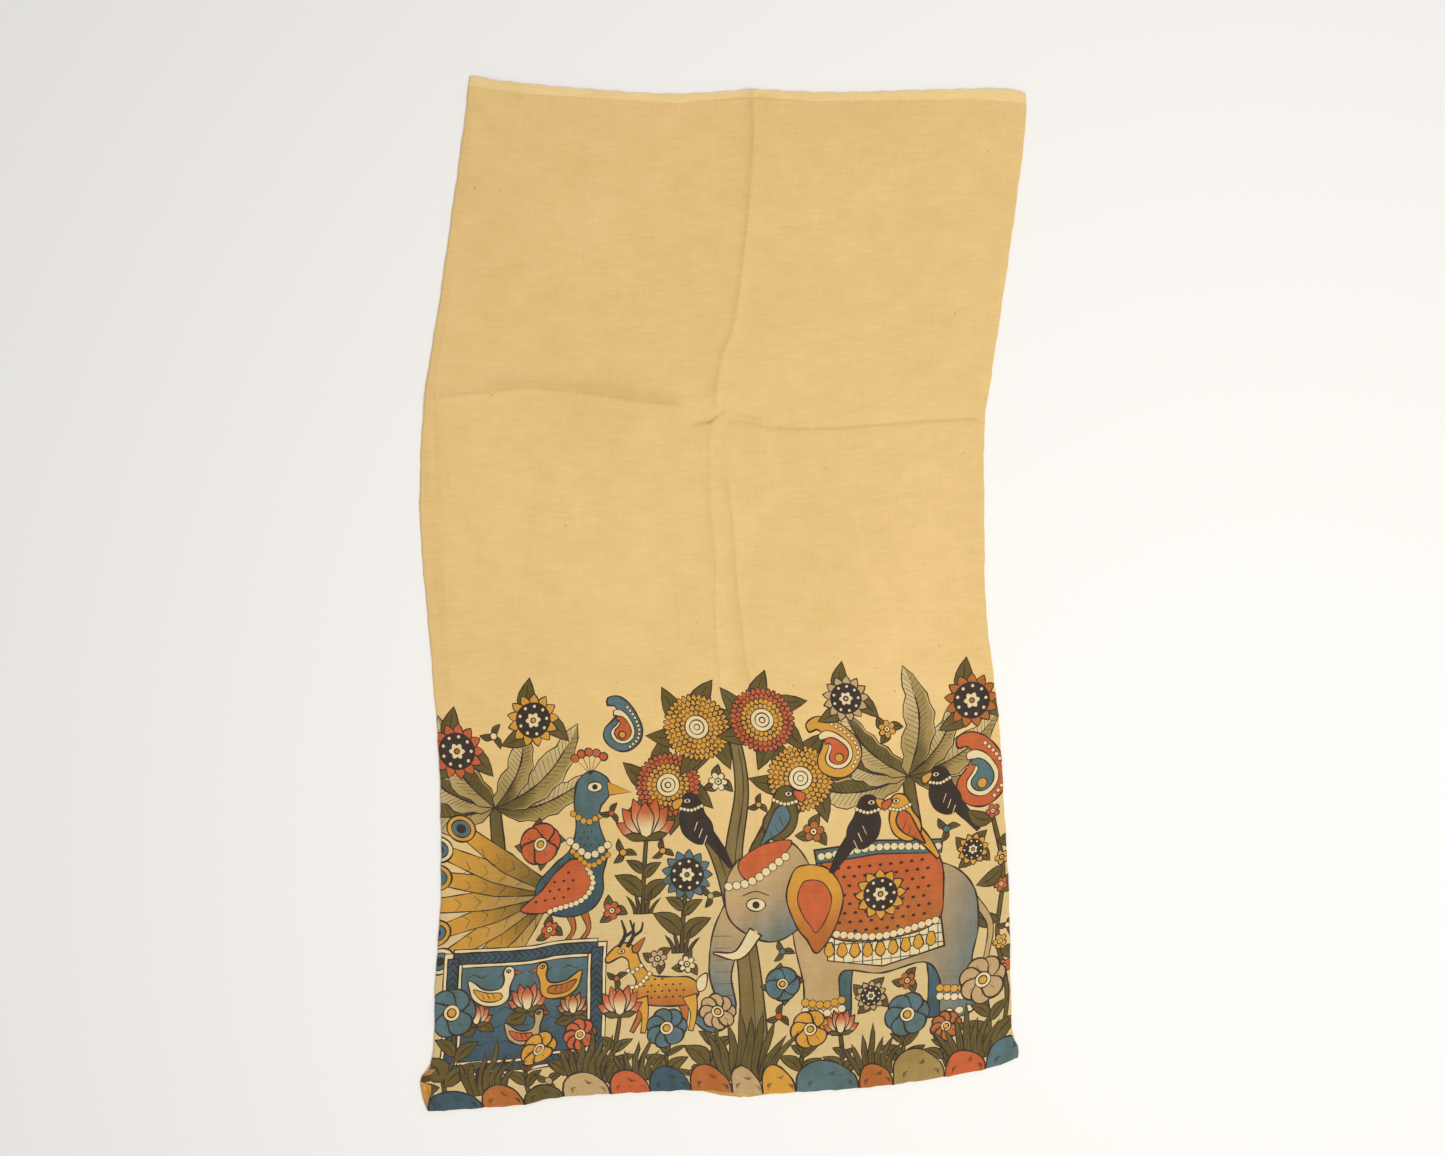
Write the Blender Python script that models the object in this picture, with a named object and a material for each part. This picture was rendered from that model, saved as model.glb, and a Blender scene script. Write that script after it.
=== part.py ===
"""A kalamkari panel: one thin cotton cloth lying flat, with its two ends folded under it.

X runs across the panel, Y runs up it to the selvedge, Z is up, and the origin is at the middle of
its foot. Both side edges are soft rolled folds. The two cut ends meet underneath, so each
cross-section is one flat ring of cloth with a slit in its lower side. Sizes are in metres.
"""

import math
from collections import namedtuple

import bmesh
import bpy

# The cloth and the way its layers lie
CLOTH_THICKNESS = 0.001
LAYER_GAP = 0.0006
UPPER_LOFT = 0.0007
ROLL_REACH = 0.003
ENDS_MEET_AT = 0.53
ENDS_GAP = 0.008

# The under layer hangs out a little below the printed edge, beside the slit
DROP_LENGTH = 0.006
DROP_WIDTH = 0.07
DROP_STARTS_AT = 0.8

# Outline seen from above: the rolled folds from the selvedge down, the edges from left to right
Point = namedtuple("Point", "x y")
LEFT_FOLD = (
    Point(-0.279, 0.571),
    Point(-0.286, 0.511),
    Point(-0.299, 0.417),
    Point(-0.313, 0.318),
    Point(-0.329, 0.213),
    Point(-0.334, 0.103),
    Point(-0.330, 0.026),
    Point(-0.323, -0.051),
    Point(-0.314, -0.162),
    Point(-0.311, -0.239),
    Point(-0.311, -0.338),
    Point(-0.317, -0.426),
    Point(-0.320, -0.510),
    Point(-0.333, -0.534),
    Point(-0.332, -0.552),
    Point(-0.325, -0.571),
)
RIGHT_FOLD = (
    Point(0.334, 0.551),
    Point(0.333, 0.511),
    Point(0.323, 0.429),
    Point(0.309, 0.329),
    Point(0.295, 0.235),
    Point(0.288, 0.180),
    Point(0.288, 0.081),
    Point(0.290, -0.018),
    Point(0.304, -0.140),
    Point(0.310, -0.239),
    Point(0.315, -0.327),
    Point(0.317, -0.426),
    Point(0.319, -0.481),
    Point(0.325, -0.498),
    Point(0.325, -0.511),
)
SELVEDGE = (
    Point(-0.279, 0.571),
    Point(-0.246, 0.565),
    Point(-0.180, 0.558),
    Point(-0.081, 0.551),
    Point(-0.025, 0.551),
    Point(0.032, 0.555),
    Point(0.085, 0.553),
    Point(0.140, 0.552),
    Point(0.250, 0.555),
    Point(0.311, 0.556),
    Point(0.334, 0.551),
)
PRINTED_EDGE = (
    Point(-0.325, -0.571),
    Point(-0.268, -0.567),
    Point(-0.218, -0.563),
    Point(-0.180, -0.555),
    Point(-0.081, -0.549),
    Point(-0.025, -0.547),
    Point(0.030, -0.551),
    Point(0.107, -0.548),
    Point(0.195, -0.540),
    Point(0.289, -0.524),
    Point(0.325, -0.511),
)

# Folds in the upper layer. Start, end and places are fractions of the panel's width or length:
# a fold that runs down is placed across the width, and one that runs across is placed down the
# length. A negative height is a trough.
Fold = namedtuple("Fold", "name runs start end at_start at_middle at_end height spread")
FOLDS = (
    Fold("upper centre ridge", "down", -0.05, 0.325, 0.505, 0.527, 0.516, 0.0019, 0.005),
    Fold("lower centre ridge", "down", 0.325, 0.64, 0.513, 0.512, 0.511, 0.0011, 0.006),
    Fold("long soft fold", "down", 0.37, 1.05, 0.540, 0.565, 0.550, 0.0020, 0.007),
    Fold("left cross ridge", "across", -0.05, 0.515, 0.317, 0.297, 0.322, 0.0018, 0.007),
    Fold("right cross trough", "across", 0.52, 1.05, 0.322, 0.337, 0.341, -0.0006, 0.006),
    Fold("left roll", "down", -0.05, 1.05, 0.020, 0.020, 0.020, 0.0009, 0.009),
    Fold("right roll", "down", -0.05, 1.05, 0.982, 0.984, 0.982, 0.0007, 0.007),
    Fold("soft fold by the left roll", "down", 0.36, 0.66, 0.030, 0.048, 0.068, 0.0010, 0.008),
    Fold("corner pleat", "down", 0.945, 1.03, 0.004, 0.024, 0.006, 0.0026, 0.005),
)
FADE = 0.04

# Grid lines lie close at the folds, ride the centre crease and the cross crease, and spread between
COLUMNS_BY_EDGE = (0.0, 0.010, 0.020, 0.032, 0.048, 0.070)
COLUMNS_BY_CREASE = (0.0, 0.007, 0.014, 0.022, 0.032, 0.046)
COLUMN_STEP = 0.062
COLUMN_STEP_UNDER = 0.1
ROWS_BY_SELVEDGE = (0.0, 0.02)
ROWS_BY_PRINTED_EDGE = (0.0, 0.008, 0.017, 0.026, 0.036, 0.05)
ROWS_BY_CREASE = (0.0, 0.005, 0.011, 0.019, 0.03)
ROW_STEP = 0.041
ROLL_STEPS = 5
CentreLine = namedtuple("CentreLine", "down across")
CENTRE_CREASE = (
    CentreLine(0.0, 0.507),
    CentreLine(0.16, 0.527),
    CentreLine(0.325, 0.516),
    CentreLine(0.5, 0.532),
    CentreLine(0.7, 0.545),
    CentreLine(1.0, 0.545),
)
CROSS_CREASE = (
    CentreLine(0.316, 0.0),
    CentreLine(0.297, 0.25),
    CentreLine(0.322, 0.515),
    CentreLine(0.337, 0.765),
    CentreLine(0.341, 1.0),
)
CENTRE_ANCHOR = 0.527
CROSS_ANCHOR = 0.32

# Finish
FIELD_COLOUR = (0.785, 0.533, 0.219, 1.0)
FIELD_ROUGHNESS = 0.9

Column = namedtuple("Column", "layer across turn")


def clear_scene():
    """Remove whatever objects the file holds."""
    for item in list(bpy.data.objects):
        bpy.data.objects.remove(item, do_unlink=True)


def smooth_step(value):
    """Ease from 0 to 1 as value goes from 0 to 1."""
    value = min(max(value, 0.0), 1.0)
    return value * value * (3.0 - 2.0 * value)


def along(points, fraction):
    """A point on the smooth curve through the points, at a fraction of its length."""
    spans = [math.dist(a, b) for a, b in zip(points, points[1:])]
    distance = min(max(fraction, 0.0), 1.0) * sum(spans)
    step = 0
    while step < len(spans) - 1 and distance > spans[step]:
        distance -= spans[step]
        step += 1
    before = points[max(step - 1, 0)]
    start = points[step]
    end = points[step + 1]
    after = points[min(step + 2, len(points) - 1)]
    t = distance / spans[step]
    width_before = math.dist(before, start) or spans[step]
    width_after = math.dist(end, after) or spans[step]
    place = []
    for p0, p1, p2, p3 in zip(before, start, end, after):
        slope_in = spans[step] * (p2 - p0) / (width_before + spans[step])
        slope_out = spans[step] * (p3 - p1) / (width_after + spans[step])
        if p0 == p1:
            slope_in = p2 - p1
        if p3 == p2:
            slope_out = p2 - p1
        rest = 1.0 - t
        place.append(
            p1 * rest * rest * (1.0 + 2.0 * t)
            + p2 * t * t * (3.0 - 2.0 * t)
            + slope_in * t * rest * rest
            - slope_out * t * t * rest
        )
    return place


def lie(across, down):
    """Where a point of the panel lies on the surface, from its fractions across and down."""
    left = along(LEFT_FOLD, down)
    right = along(RIGHT_FOLD, down)
    top = along(SELVEDGE, across)
    foot = along(PRINTED_EDGE, across)
    place = []
    for i in range(2):
        sides = left[i] * (1.0 - across) + right[i] * across
        ends = top[i] * (1.0 - down) + foot[i] * down
        corners = (1.0 - down) * (SELVEDGE[0][i] * (1.0 - across) + SELVEDGE[-1][i] * across)
        corners += down * (PRINTED_EDGE[0][i] * (1.0 - across) + PRINTED_EDGE[-1][i] * across)
        place.append(sides + ends - corners)
    return place


def fold_height(fold, across, down, width, length):
    """How far one fold lifts the upper layer at a place."""
    if fold.runs == "down":
        run, place, scale, run_scale = down, across, width, length
    else:
        run, place, scale, run_scale = across, down, length, width
    t = (run - fold.start) / (fold.end - fold.start)
    if t <= 0.0 or t >= 1.0:
        return 0.0
    centre = fold.at_start * (1.0 - t) * (1.0 - 2.0 * t)
    centre += fold.at_middle * 4.0 * t * (1.0 - t)
    centre += fold.at_end * t * (2.0 * t - 1.0)
    off = (place - centre) * scale / fold.spread
    from_end = min(run - fold.start, fold.end - run) * run_scale
    return fold.height * math.exp(-off * off) * smooth_step(from_end / FADE)


def upper_height(across, down, width, length):
    """The height of the upper layer's outer face."""
    stack = 2.0 * CLOTH_THICKNESS + LAYER_GAP + UPPER_LOFT
    return stack + sum(fold_height(fold, across, down, width, length) for fold in FOLDS)


def crease_at(crease, key, value, wanted):
    """Read one column of a crease table at a value of the other, straight between its rows."""
    for first, second in zip(crease, crease[1:]):
        low = getattr(first, key)
        high = getattr(second, key)
        if value <= high or second is crease[-1]:
            t = min(max((value - low) / (high - low), 0.0), 1.0)
            return getattr(first, wanted) * (1.0 - t) + getattr(second, wanted) * t
    return getattr(crease[0], wanted)


def ride(station, anchor, crease_place):
    """Move a grid line so that the one at the anchor rides the crease and the ends stay put."""
    if station < anchor:
        share = station / anchor
    else:
        share = (1.0 - station) / (1.0 - anchor)
    return station + (crease_place - anchor) * share


def stations(by_start, by_end, anchor, by_anchor, step):
    """Fractions from 0 to 1, close at both ends and at the anchor and evenly spread between."""
    close = set(by_start)
    close.update(1.0 - gap for gap in by_end)
    close.update(anchor - gap for gap in by_anchor)
    close.update(anchor + gap for gap in by_anchor)
    close = sorted(close)
    spread = [close[0]]
    for first, second in zip(close, close[1:]):
        pieces = max(1, math.ceil((second - first) / step))
        spread.extend(first + (second - first) * (i + 1) / pieces for i in range(pieces))
    return spread


def even_stations(start, end, step):
    """Fractions from start to end, evenly spread."""
    pieces = max(1, math.ceil(abs(end - start) / step))
    return [start + (end - start) * i / pieces for i in range(pieces + 1)]


def section_columns(inset, half_gap):
    """The columns of the folded section, from one cut end round the panel to the other."""
    under_left = even_stations(ENDS_MEET_AT - half_gap, inset, COLUMN_STEP_UNDER)
    under_right = even_stations(1.0 - inset, ENDS_MEET_AT + half_gap, COLUMN_STEP_UNDER)
    turns = [math.pi * (i / ROLL_STEPS - 0.5) for i in range(1, ROLL_STEPS)]
    upper = stations(
        COLUMNS_BY_EDGE, COLUMNS_BY_EDGE, CENTRE_ANCHOR, COLUMNS_BY_CREASE, COLUMN_STEP
    )
    columns = [Column("under", across, 0.0) for across in under_left]
    columns += [Column("left roll", inset, turn) for turn in turns]
    columns += [Column("upper", inset + across * (1.0 - 2.0 * inset), 0.0) for across in upper]
    columns += [Column("right roll", 1.0 - inset, turn) for turn in reversed(turns)]
    columns += [Column("under", across, 0.0) for across in under_right]
    return columns


def place_on_cloth(column, row, width, length):
    """Where one grid point of the cloth's outer face lies."""
    down = ride(row, CROSS_ANCHOR, crease_at(CROSS_CREASE, "across", column.across, "down"))
    if column.layer == "under":
        x, y = lie(column.across, down)
        beside_slit = (column.across - ENDS_MEET_AT) / DROP_WIDTH
        near_foot = smooth_step((down - DROP_STARTS_AT) / (1.0 - DROP_STARTS_AT))
        y -= DROP_LENGTH * math.exp(-beside_slit * beside_slit) * near_foot
        return x, y, 0.0
    if column.layer == "upper":
        crease_place = crease_at(CENTRE_CREASE, "down", down, "across")
        across = ride(column.across, CENTRE_ANCHOR, crease_place)
        x, y = lie(across, down)
        return x, y, upper_height(across, down, width, length)
    x, y = lie(column.across, down)
    half_height = upper_height(column.across, down, width, length) / 2.0
    side = -1.0 if column.layer == "left roll" else 1.0
    x += side * ROLL_REACH * math.cos(column.turn)
    return x, y, half_height * (1.0 + math.sin(column.turn))


def fold_cloth():
    """Shape the cloth's outer face from a grid: columns run round the section, rows up it."""
    width = RIGHT_FOLD[len(RIGHT_FOLD) // 2].x - LEFT_FOLD[len(LEFT_FOLD) // 2].x
    length = SELVEDGE[0].y - PRINTED_EDGE[0].y
    columns = section_columns(ROLL_REACH / width, ENDS_GAP / width / 2.0)
    rows = stations(
        ROWS_BY_SELVEDGE, ROWS_BY_PRINTED_EDGE, CROSS_ANCHOR, ROWS_BY_CREASE, ROW_STEP
    )
    rows.reverse()
    cloth = bmesh.new()
    last_column = len(columns) - 1
    last_row = len(rows) - 1
    bmesh.ops.create_grid(cloth, x_segments=last_column, y_segments=last_row, size=1.0)
    for point in cloth.verts:
        column = columns[round((point.co.x + 1.0) / 2.0 * last_column)]
        row = rows[round((point.co.y + 1.0) / 2.0 * last_row)]
        point.co = place_on_cloth(column, row, width, length)
    return cloth


def cotton_material():
    """Plain mustard-dyed cotton."""
    material = bpy.data.materials.new("mustard_cotton")
    material.use_nodes = True
    shader = material.node_tree.nodes["Principled BSDF"]
    shader.inputs["Base Color"].default_value = FIELD_COLOUR
    shader.inputs["Roughness"].default_value = FIELD_ROUGHNESS
    shader.inputs["Metallic"].default_value = 0.0
    return material


def make_cloth():
    """The whole panel, one solid."""
    mesh = bpy.data.meshes.new("cloth")
    shape = fold_cloth()
    shape.to_mesh(mesh)
    shape.free()
    mesh.shade_smooth()
    cloth = bpy.data.objects.new("cloth", mesh)
    bpy.context.scene.collection.objects.link(cloth)
    cloth.data.materials.append(cotton_material())
    wall = cloth.modifiers.new("cloth thickness", "SOLIDIFY")
    wall.thickness = CLOTH_THICKNESS
    wall.offset = -1.0
    wall.use_even_offset = True
    wall.use_rim = True
    return cloth


def main():
    clear_scene()
    make_cloth()


main()
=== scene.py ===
"""Looks of the kalamkari panel: the folded cotton, its garden print and a plain studio.

The cloth is first drawn flat. Across is measured from the left rolled fold and up from the printed
edge, both in metres, so an across below zero or past the panel's width is on a folded-under end.
Every mark of the print is laid there with a pen, in the order a painter would lay it. A first
Delaunay cut finds which mark shows where. A second, along the lines where the dye changes and with
the points that carry the folds, makes the mesh. The folded section then carries it onto the surface.
"""

import math
from collections import namedtuple

import bmesh
import bpy
import numpy as np
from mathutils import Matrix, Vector
from mathutils.geometry import delaunay_2d_cdt, tessellate_polygon


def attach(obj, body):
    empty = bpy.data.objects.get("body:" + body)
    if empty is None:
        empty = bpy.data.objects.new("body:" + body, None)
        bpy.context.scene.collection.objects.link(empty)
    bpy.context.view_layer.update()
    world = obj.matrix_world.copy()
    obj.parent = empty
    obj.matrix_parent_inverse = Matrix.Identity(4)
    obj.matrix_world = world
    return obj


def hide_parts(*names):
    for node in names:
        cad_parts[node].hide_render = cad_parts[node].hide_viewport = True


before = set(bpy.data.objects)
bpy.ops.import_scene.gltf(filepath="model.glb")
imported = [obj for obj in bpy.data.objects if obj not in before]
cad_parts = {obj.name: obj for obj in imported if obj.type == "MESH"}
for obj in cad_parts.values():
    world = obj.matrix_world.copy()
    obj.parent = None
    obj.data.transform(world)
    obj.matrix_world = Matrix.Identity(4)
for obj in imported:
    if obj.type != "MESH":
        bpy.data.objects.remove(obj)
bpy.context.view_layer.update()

bl_info = {
    "name": "Kalamkari panel",
    "version": (1, 0, 0),
    "blender": (4, 5, 0),
    "location": "3D View > Sidebar > Kalamkari",
    "description": "Lays a folded, hand-painted cotton panel in a plain studio",
    "category": "Object",
}


def srgb(red, green, blue):
    """A colour as a screen shows it, 0 to 255, as the linear colour that Blender keeps."""
    linear = []
    for value in (red, green, blue):
        value /= 255.0
        linear.append(value / 12.92 if value <= 0.04045 else ((value + 0.055) / 1.055) ** 2.4)
    return tuple(linear)


class ClothSizes(bpy.types.PropertyGroup):
    """Sizes of the cloth and of the pen that drew on it."""

    thickness: bpy.props.FloatProperty(
        name="Thickness", description="Thickness of the cotton", default=0.0005,
        min=0.0002, max=0.002, unit="LENGTH", precision=4,
    )
    loft: bpy.props.FloatProperty(
        name="Upper layer height", description="Height of the upper layer's face where it lies flat",
        default=0.0029, min=0.0015, max=0.01, unit="LENGTH", precision=4,
    )
    fold_strength: bpy.props.FloatProperty(
        name="Fold strength", description="How proud the creases and folds stand", default=1.0,
        min=0.0, max=2.0, subtype="FACTOR",
    )
    pen_line: bpy.props.FloatProperty(
        name="Pen line", description="Width of the drawn black line", default=0.0018,
        min=0.0005, max=0.005, unit="LENGTH", precision=4,
    )
    selvedge: bpy.props.FloatProperty(
        name="Selvedge", description="Width of the pale woven edge", default=0.0100,
        min=0.002, max=0.03, unit="LENGTH", precision=4,
    )
    weave: bpy.props.FloatProperty(
        name="Weave relief", description="Height of the slubs and threads", default=0.00012,
        min=0.0, max=0.001, unit="LENGTH", precision=5,
    )


def own_names(group):
    """The names of a property group's own values."""
    return [name for name in group.bl_rna.properties.keys() if name not in ("rna_type", "name")]


def dye_property(name, description, red, green, blue):
    """A colour property with its default given as a screen shows it."""
    return bpy.props.FloatVectorProperty(
        name=name, description=description, subtype="COLOR", size=3, min=0.0, max=1.0,
        default=srgb(red, green, blue),
    )


class ClothDyes(bpy.types.PropertyGroup):
    """The colours that the cotton is dyed, drawn and painted with."""

    field: dye_property("Field", "Mustard ground of the plain part", 230, 194, 128)
    ground: dye_property("Band ground", "Greyer ground low in the printed band", 208, 182, 126)
    selvedge: dye_property("Selvedge", "Pale woven edge", 239, 207, 145)
    speck: dye_property("Speck", "Small brown husk in the cotton", 176, 139, 82)
    ink: dye_property("Ink", "Iron-black pen line and solid dark parts", 58, 46, 39)
    red: dye_property("Red", "Madder red", 192, 94, 50)
    orange: dye_property("Orange", "Orange-brown", 176, 101, 44)
    ochre: dye_property("Ochre", "Golden yellow", 208, 150, 55)
    indigo: dye_property("Indigo", "Indigo blue", 86, 108, 108)
    deep: dye_property("Deep indigo", "Second dip of indigo", 62, 82, 88)
    olive: dye_property("Olive", "Green from indigo over yellow", 100, 84, 39)
    leaf: dye_property("Pale olive", "Washed olive of the big leaves", 160, 134, 76)
    trunk: dye_property("Trunk", "Olive-brown of the trunk", 126, 106, 60)
    lip: dye_property("Lip", "Brown shade on the under layer's corner", 165, 123, 71)
    # Painted shadow: the dark hollow where the pleat shades the under layer's corner
    hollow: dye_property("Hollow", "Dark hollow under the corner", 93, 54, 18)
    grey: dye_property("Grey", "Warm grey wash", 188, 155, 106)
    cream: dye_property("Cream", "Undyed petals and beads", 226, 204, 154)
    # The under layer's dye holds painted shade: darker where it lies under the upper layer's edge
    under: dye_property("Under layer", "Cloth that shows below the printed edge", 192, 152, 82)


class StudioSettings(bpy.types.PropertyGroup):
    """The camera, the lights and the floor."""

    camera_height: bpy.props.FloatProperty(
        name="Camera height", description="Height of the camera above the floor", default=2.214,
        min=0.5, max=10.0, unit="LENGTH",
    )
    lens: bpy.props.FloatProperty(
        name="Lens", description="Focal length of the camera", default=50.0, min=10.0, max=200.0,
        unit="CAMERA",
    )
    key_power: bpy.props.FloatProperty(
        name="Key light", description="Power of the large soft light", default=35.5, min=0.0,
        unit="POWER",
    )
    ambient: bpy.props.FloatProperty(
        name="Ambient light", description="Strength of the light from all around", default=0.505,
        min=0.0, max=5.0,
    )
    floor: dye_property("Floor", "Plain pale floor", 248, 246, 242)


# The panel as it lies: the same edges as the solid's, from the selvedge down and from left to right,
# as x and y on the surface
LEFT_FOLD = (
    (-0.279, 0.571), (-0.286, 0.511), (-0.299, 0.417), (-0.313, 0.318), (-0.329, 0.213),
    (-0.334, 0.103), (-0.330, 0.026), (-0.323, -0.051), (-0.314, -0.162), (-0.311, -0.239),
    (-0.311, -0.338), (-0.317, -0.426), (-0.320, -0.510), (-0.333, -0.534), (-0.332, -0.552),
    (-0.325, -0.571),
)
RIGHT_FOLD = (
    (0.334, 0.551), (0.333, 0.511), (0.323, 0.429), (0.309, 0.329), (0.295, 0.235),
    (0.288, 0.180), (0.288, 0.081), (0.290, -0.018), (0.304, -0.140), (0.310, -0.239),
    (0.315, -0.327), (0.317, -0.426), (0.319, -0.481), (0.325, -0.498), (0.325, -0.511),
)
SELVEDGE = (
    (-0.279, 0.571), (-0.246, 0.565), (-0.180, 0.558), (-0.081, 0.551), (-0.025, 0.551),
    (0.032, 0.555), (0.085, 0.553), (0.140, 0.552), (0.250, 0.555), (0.311, 0.556),
    (0.334, 0.551),
)
PRINTED_EDGE = (
    (-0.325, -0.571), (-0.268, -0.567), (-0.218, -0.563), (-0.180, -0.555), (-0.081, -0.549),
    (-0.025, -0.547), (0.030, -0.551), (0.107, -0.548), (0.195, -0.540), (0.289, -0.524),
    (0.325, -0.511),
)

# The flat cloth
PANEL_WIDTH = 0.632
CLOTH_LENGTH = 1.12
ENDS_MEET_AT = 0.53
ENDS_GAP = 0.0004
ROLL_REACH = 0.003
ROLL_ARC = 0.0085
INSET = ROLL_REACH / PANEL_WIDTH
HALF_ARC = ROLL_ARC / 2.0
PER_ACROSS = (PANEL_WIDTH - ROLL_ARC) / (1.0 - 2.0 * INSET)
HALF_SLIT = ENDS_GAP / PANEL_WIDTH / 2.0
LEFT_END = -HALF_ARC - (ENDS_MEET_AT - HALF_SLIT - INSET) * PER_ACROSS
RIGHT_END = PANEL_WIDTH + HALF_ARC + (1.0 - INSET - ENDS_MEET_AT - HALF_SLIT) * PER_ACROSS
BAND_TOP = 0.48

# The under layer hangs out a little below the printed edge, beside the slit, and its inner face is
# painted in shade there up to a given height
UNDER_SHADED = 0.002
DROP_LENGTH = 0.005
DROP_AT = 0.515
DROP_WIDTH = 0.055
DROP_STARTS_AT = 0.8

# Creases and soft folds of the upper layer. Spots are fractions across the panel and down it. The
# height is at the crest, negative in a trough; the spread is how fast it falls away; a crisp fold
# is a pressed crease, and the painted shade is how much darker the cloth is painted along it, in
# place of the shade that falls in and beside the crease.
Crease = namedtuple("Crease", "name spots height spread crisp tint")
CREASES = (
    Crease("upper centre crease", (
        (0.506, -0.02), (0.507, 0.0), (0.519, 0.07), (0.5265, 0.16), (0.528, 0.215), (0.525, 0.246),
        (0.518, 0.257), (0.515, 0.270), (0.513, 0.295), (0.515, 0.312), (0.517, 0.325),
    ), 0.0028, 0.0050, True, 0.20),
    Crease("lower centre crease", (
        (0.516, 0.326), (0.5125, 0.340), (0.510, 0.352), (0.5115, 0.379), (0.512, 0.418),
        (0.519, 0.468), (0.512, 0.549), (0.511, 0.64),
    ), 0.0014, 0.0060, True, 0.13),
    Crease("long soft fold", (
        (0.540, 0.375), (0.552, 0.430), (0.556, 0.490), (0.562, 0.570), (0.566, 0.620),
        (0.560, 0.75), (0.552, 0.88), (0.55, 1.04),
    ), 0.0023, 0.0070, True, 0.15),
    Crease("left cross crease", (
        (-0.02, 0.3125), (0.03, 0.3085), (0.13, 0.2995), (0.17, 0.2965), (0.21, 0.2975),
        (0.29, 0.3015), (0.38, 0.3085), (0.43, 0.3125), (0.485, 0.3180),
    ), 0.0029, 0.0080, True, 0.17),
    Crease("shade above the left cross crease", (
        (0.10, 0.2950), (0.20, 0.2910), (0.30, 0.2955), (0.40, 0.3045), (0.48, 0.3125),
    ), 0.0002, 0.0070, False, 0.13),
    Crease("upper edge of the right cross crease", (
        (0.543, 0.322), (0.567, 0.3243), (0.588, 0.3265), (0.627, 0.3290),
    ), -0.0008, 0.0030, True, 0.24),
    Crease("right cross crease", (
        (0.526, 0.331), (0.558, 0.3306), (0.579, 0.3320), (0.600, 0.3346), (0.620, 0.3364),
        (0.661, 0.3378), (0.72, 0.3385), (0.86, 0.338), (1.02, 0.340),
    ), -0.0013, 0.0042, True, 0.30),
    Crease("kink at the crossing", (
        (0.476, 0.3360), (0.4957, 0.3334), (0.5117, 0.3314), (0.5191, 0.3273), (0.5267, 0.3242),
        (0.540, 0.3200),
    ), -0.0013, 0.0022, True, 0.75),
    Crease("line inside the left roll", (
        (0.004, 0.03), (0.0105, 0.05), (0.0175, 0.09), (0.0185, 0.15), (0.0166, 0.22),
        (0.0150, 0.29), (0.025, 0.33), (0.033, 0.38), (0.033, 0.45), (0.031, 0.52), (0.028, 0.62),
    ), -0.0003, 0.0020, True, 0.05),
    Crease("faint slanting fold", (
        (0.134, 0.497), (0.21, 0.482), (0.29, 0.470), (0.38, 0.466), (0.49, 0.470),
    ), 0.0008, 0.0070, False, 0.0),
    Crease("fold inside the left edge", (
        (0.014, 0.35), (0.020, 0.42), (0.024, 0.49), (0.022, 0.56), (0.018, 0.62),
    ), 0.0007, 0.0040, False, 0.04),
    Crease("left roll", ((0.012, -0.03), (0.012, 0.5), (0.012, 1.03)), 0.0007, 0.0050, False, 0.0),
    Crease("right roll", ((0.988, -0.03), (0.988, 0.5), (0.988, 1.03)), 0.0006, 0.0050, False, 0.0),
    Crease("dimple by the right edge", (
        (0.955, 0.09), (0.962, 0.14), (0.958, 0.20),
    ), -0.0008, 0.0080, False, 0.0),
    Crease("lower dimple by the right edge", (
        (0.968, 0.43), (0.962, 0.47), (0.966, 0.51),
    ), -0.0008, 0.0080, False, 0.0),
    Crease("bump above the left crease", ((0.215, 0.262), (0.235, 0.276)), 0.0007, 0.0120, False, 0.0),
    Crease("corner pleat", (
        (0.026, 0.953), (0.016, 0.968), (0.012, 0.985), (0.018, 1.02),
    ), -0.0019, 0.0035, True, 0.55),
    Crease("corner lip", (
        (0.002, 0.955), (-0.004, 0.972), (0.000, 0.990), (0.006, 1.01),
    ), 0.0022, 0.0040, False, 0.0),
    Crease("upper thread line", (
        (0.445, 0.473), (0.447, 0.515), (0.449, 0.558),
    ), 0.0003, 0.0025, True, 0.06),
)
# How a crease fades toward its ends, how many spreads away it is still felt, and how round the
# crest of a crisp one is and how wide the painted shade along it is
CREASE_FADE = 0.035
CREASE_END = 0.15
CREASE_REACH = 5.0
CREST = 0.001
CRISP_SHADE = 0.0017

# Small husks in the cotton: fractions across and down
SPECKS = (
    (0.036, 0.105), (0.082, 0.105), (0.259, 0.432), (0.328, 0.588), (0.641, 0.593),
    (0.792, 0.581), (0.819, 0.606), (0.906, 0.566), (0.916, 0.229), (0.899, 0.107),
    (0.936, 0.063),
)

# The doubled strip along the left roll: how wide it is at places down the panel, and how dark the
# painted shade in it is, which stands in for the shade along the rolled fold
STRIP_DOWN = (0.0, 0.03, 0.05, 0.09, 0.15, 0.22, 0.29, 0.33, 0.38, 0.45, 0.52, 0.62, 0.70)
STRIP_WIDTH = (
    0.0, 0.0025, 0.0066, 0.0111, 0.0117, 0.0105, 0.0095, 0.0158, 0.0209, 0.0209, 0.0196, 0.0177, 0.0,
)
STRIP_PAINTED_SHADE = 0.10
STRIP_FULL = 0.006

# Slow swells of the upper layer: wavelengths across and down, height and phase
Swell = namedtuple("Swell", "across down height phase")
SWELLS = (
    Swell(0.41, 0.73, 0.00022, 0.4),
    Swell(-0.27, 0.39, 0.00018, 1.9),
    Swell(0.163, 0.52, 0.00011, 3.1),
    Swell(0.31, -0.141, 0.00010, 4.4),
    Swell(0.083, 0.117, 0.00005, 0.9),
    Swell(-0.061, 0.092, 0.00004, 2.2),
)

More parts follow.
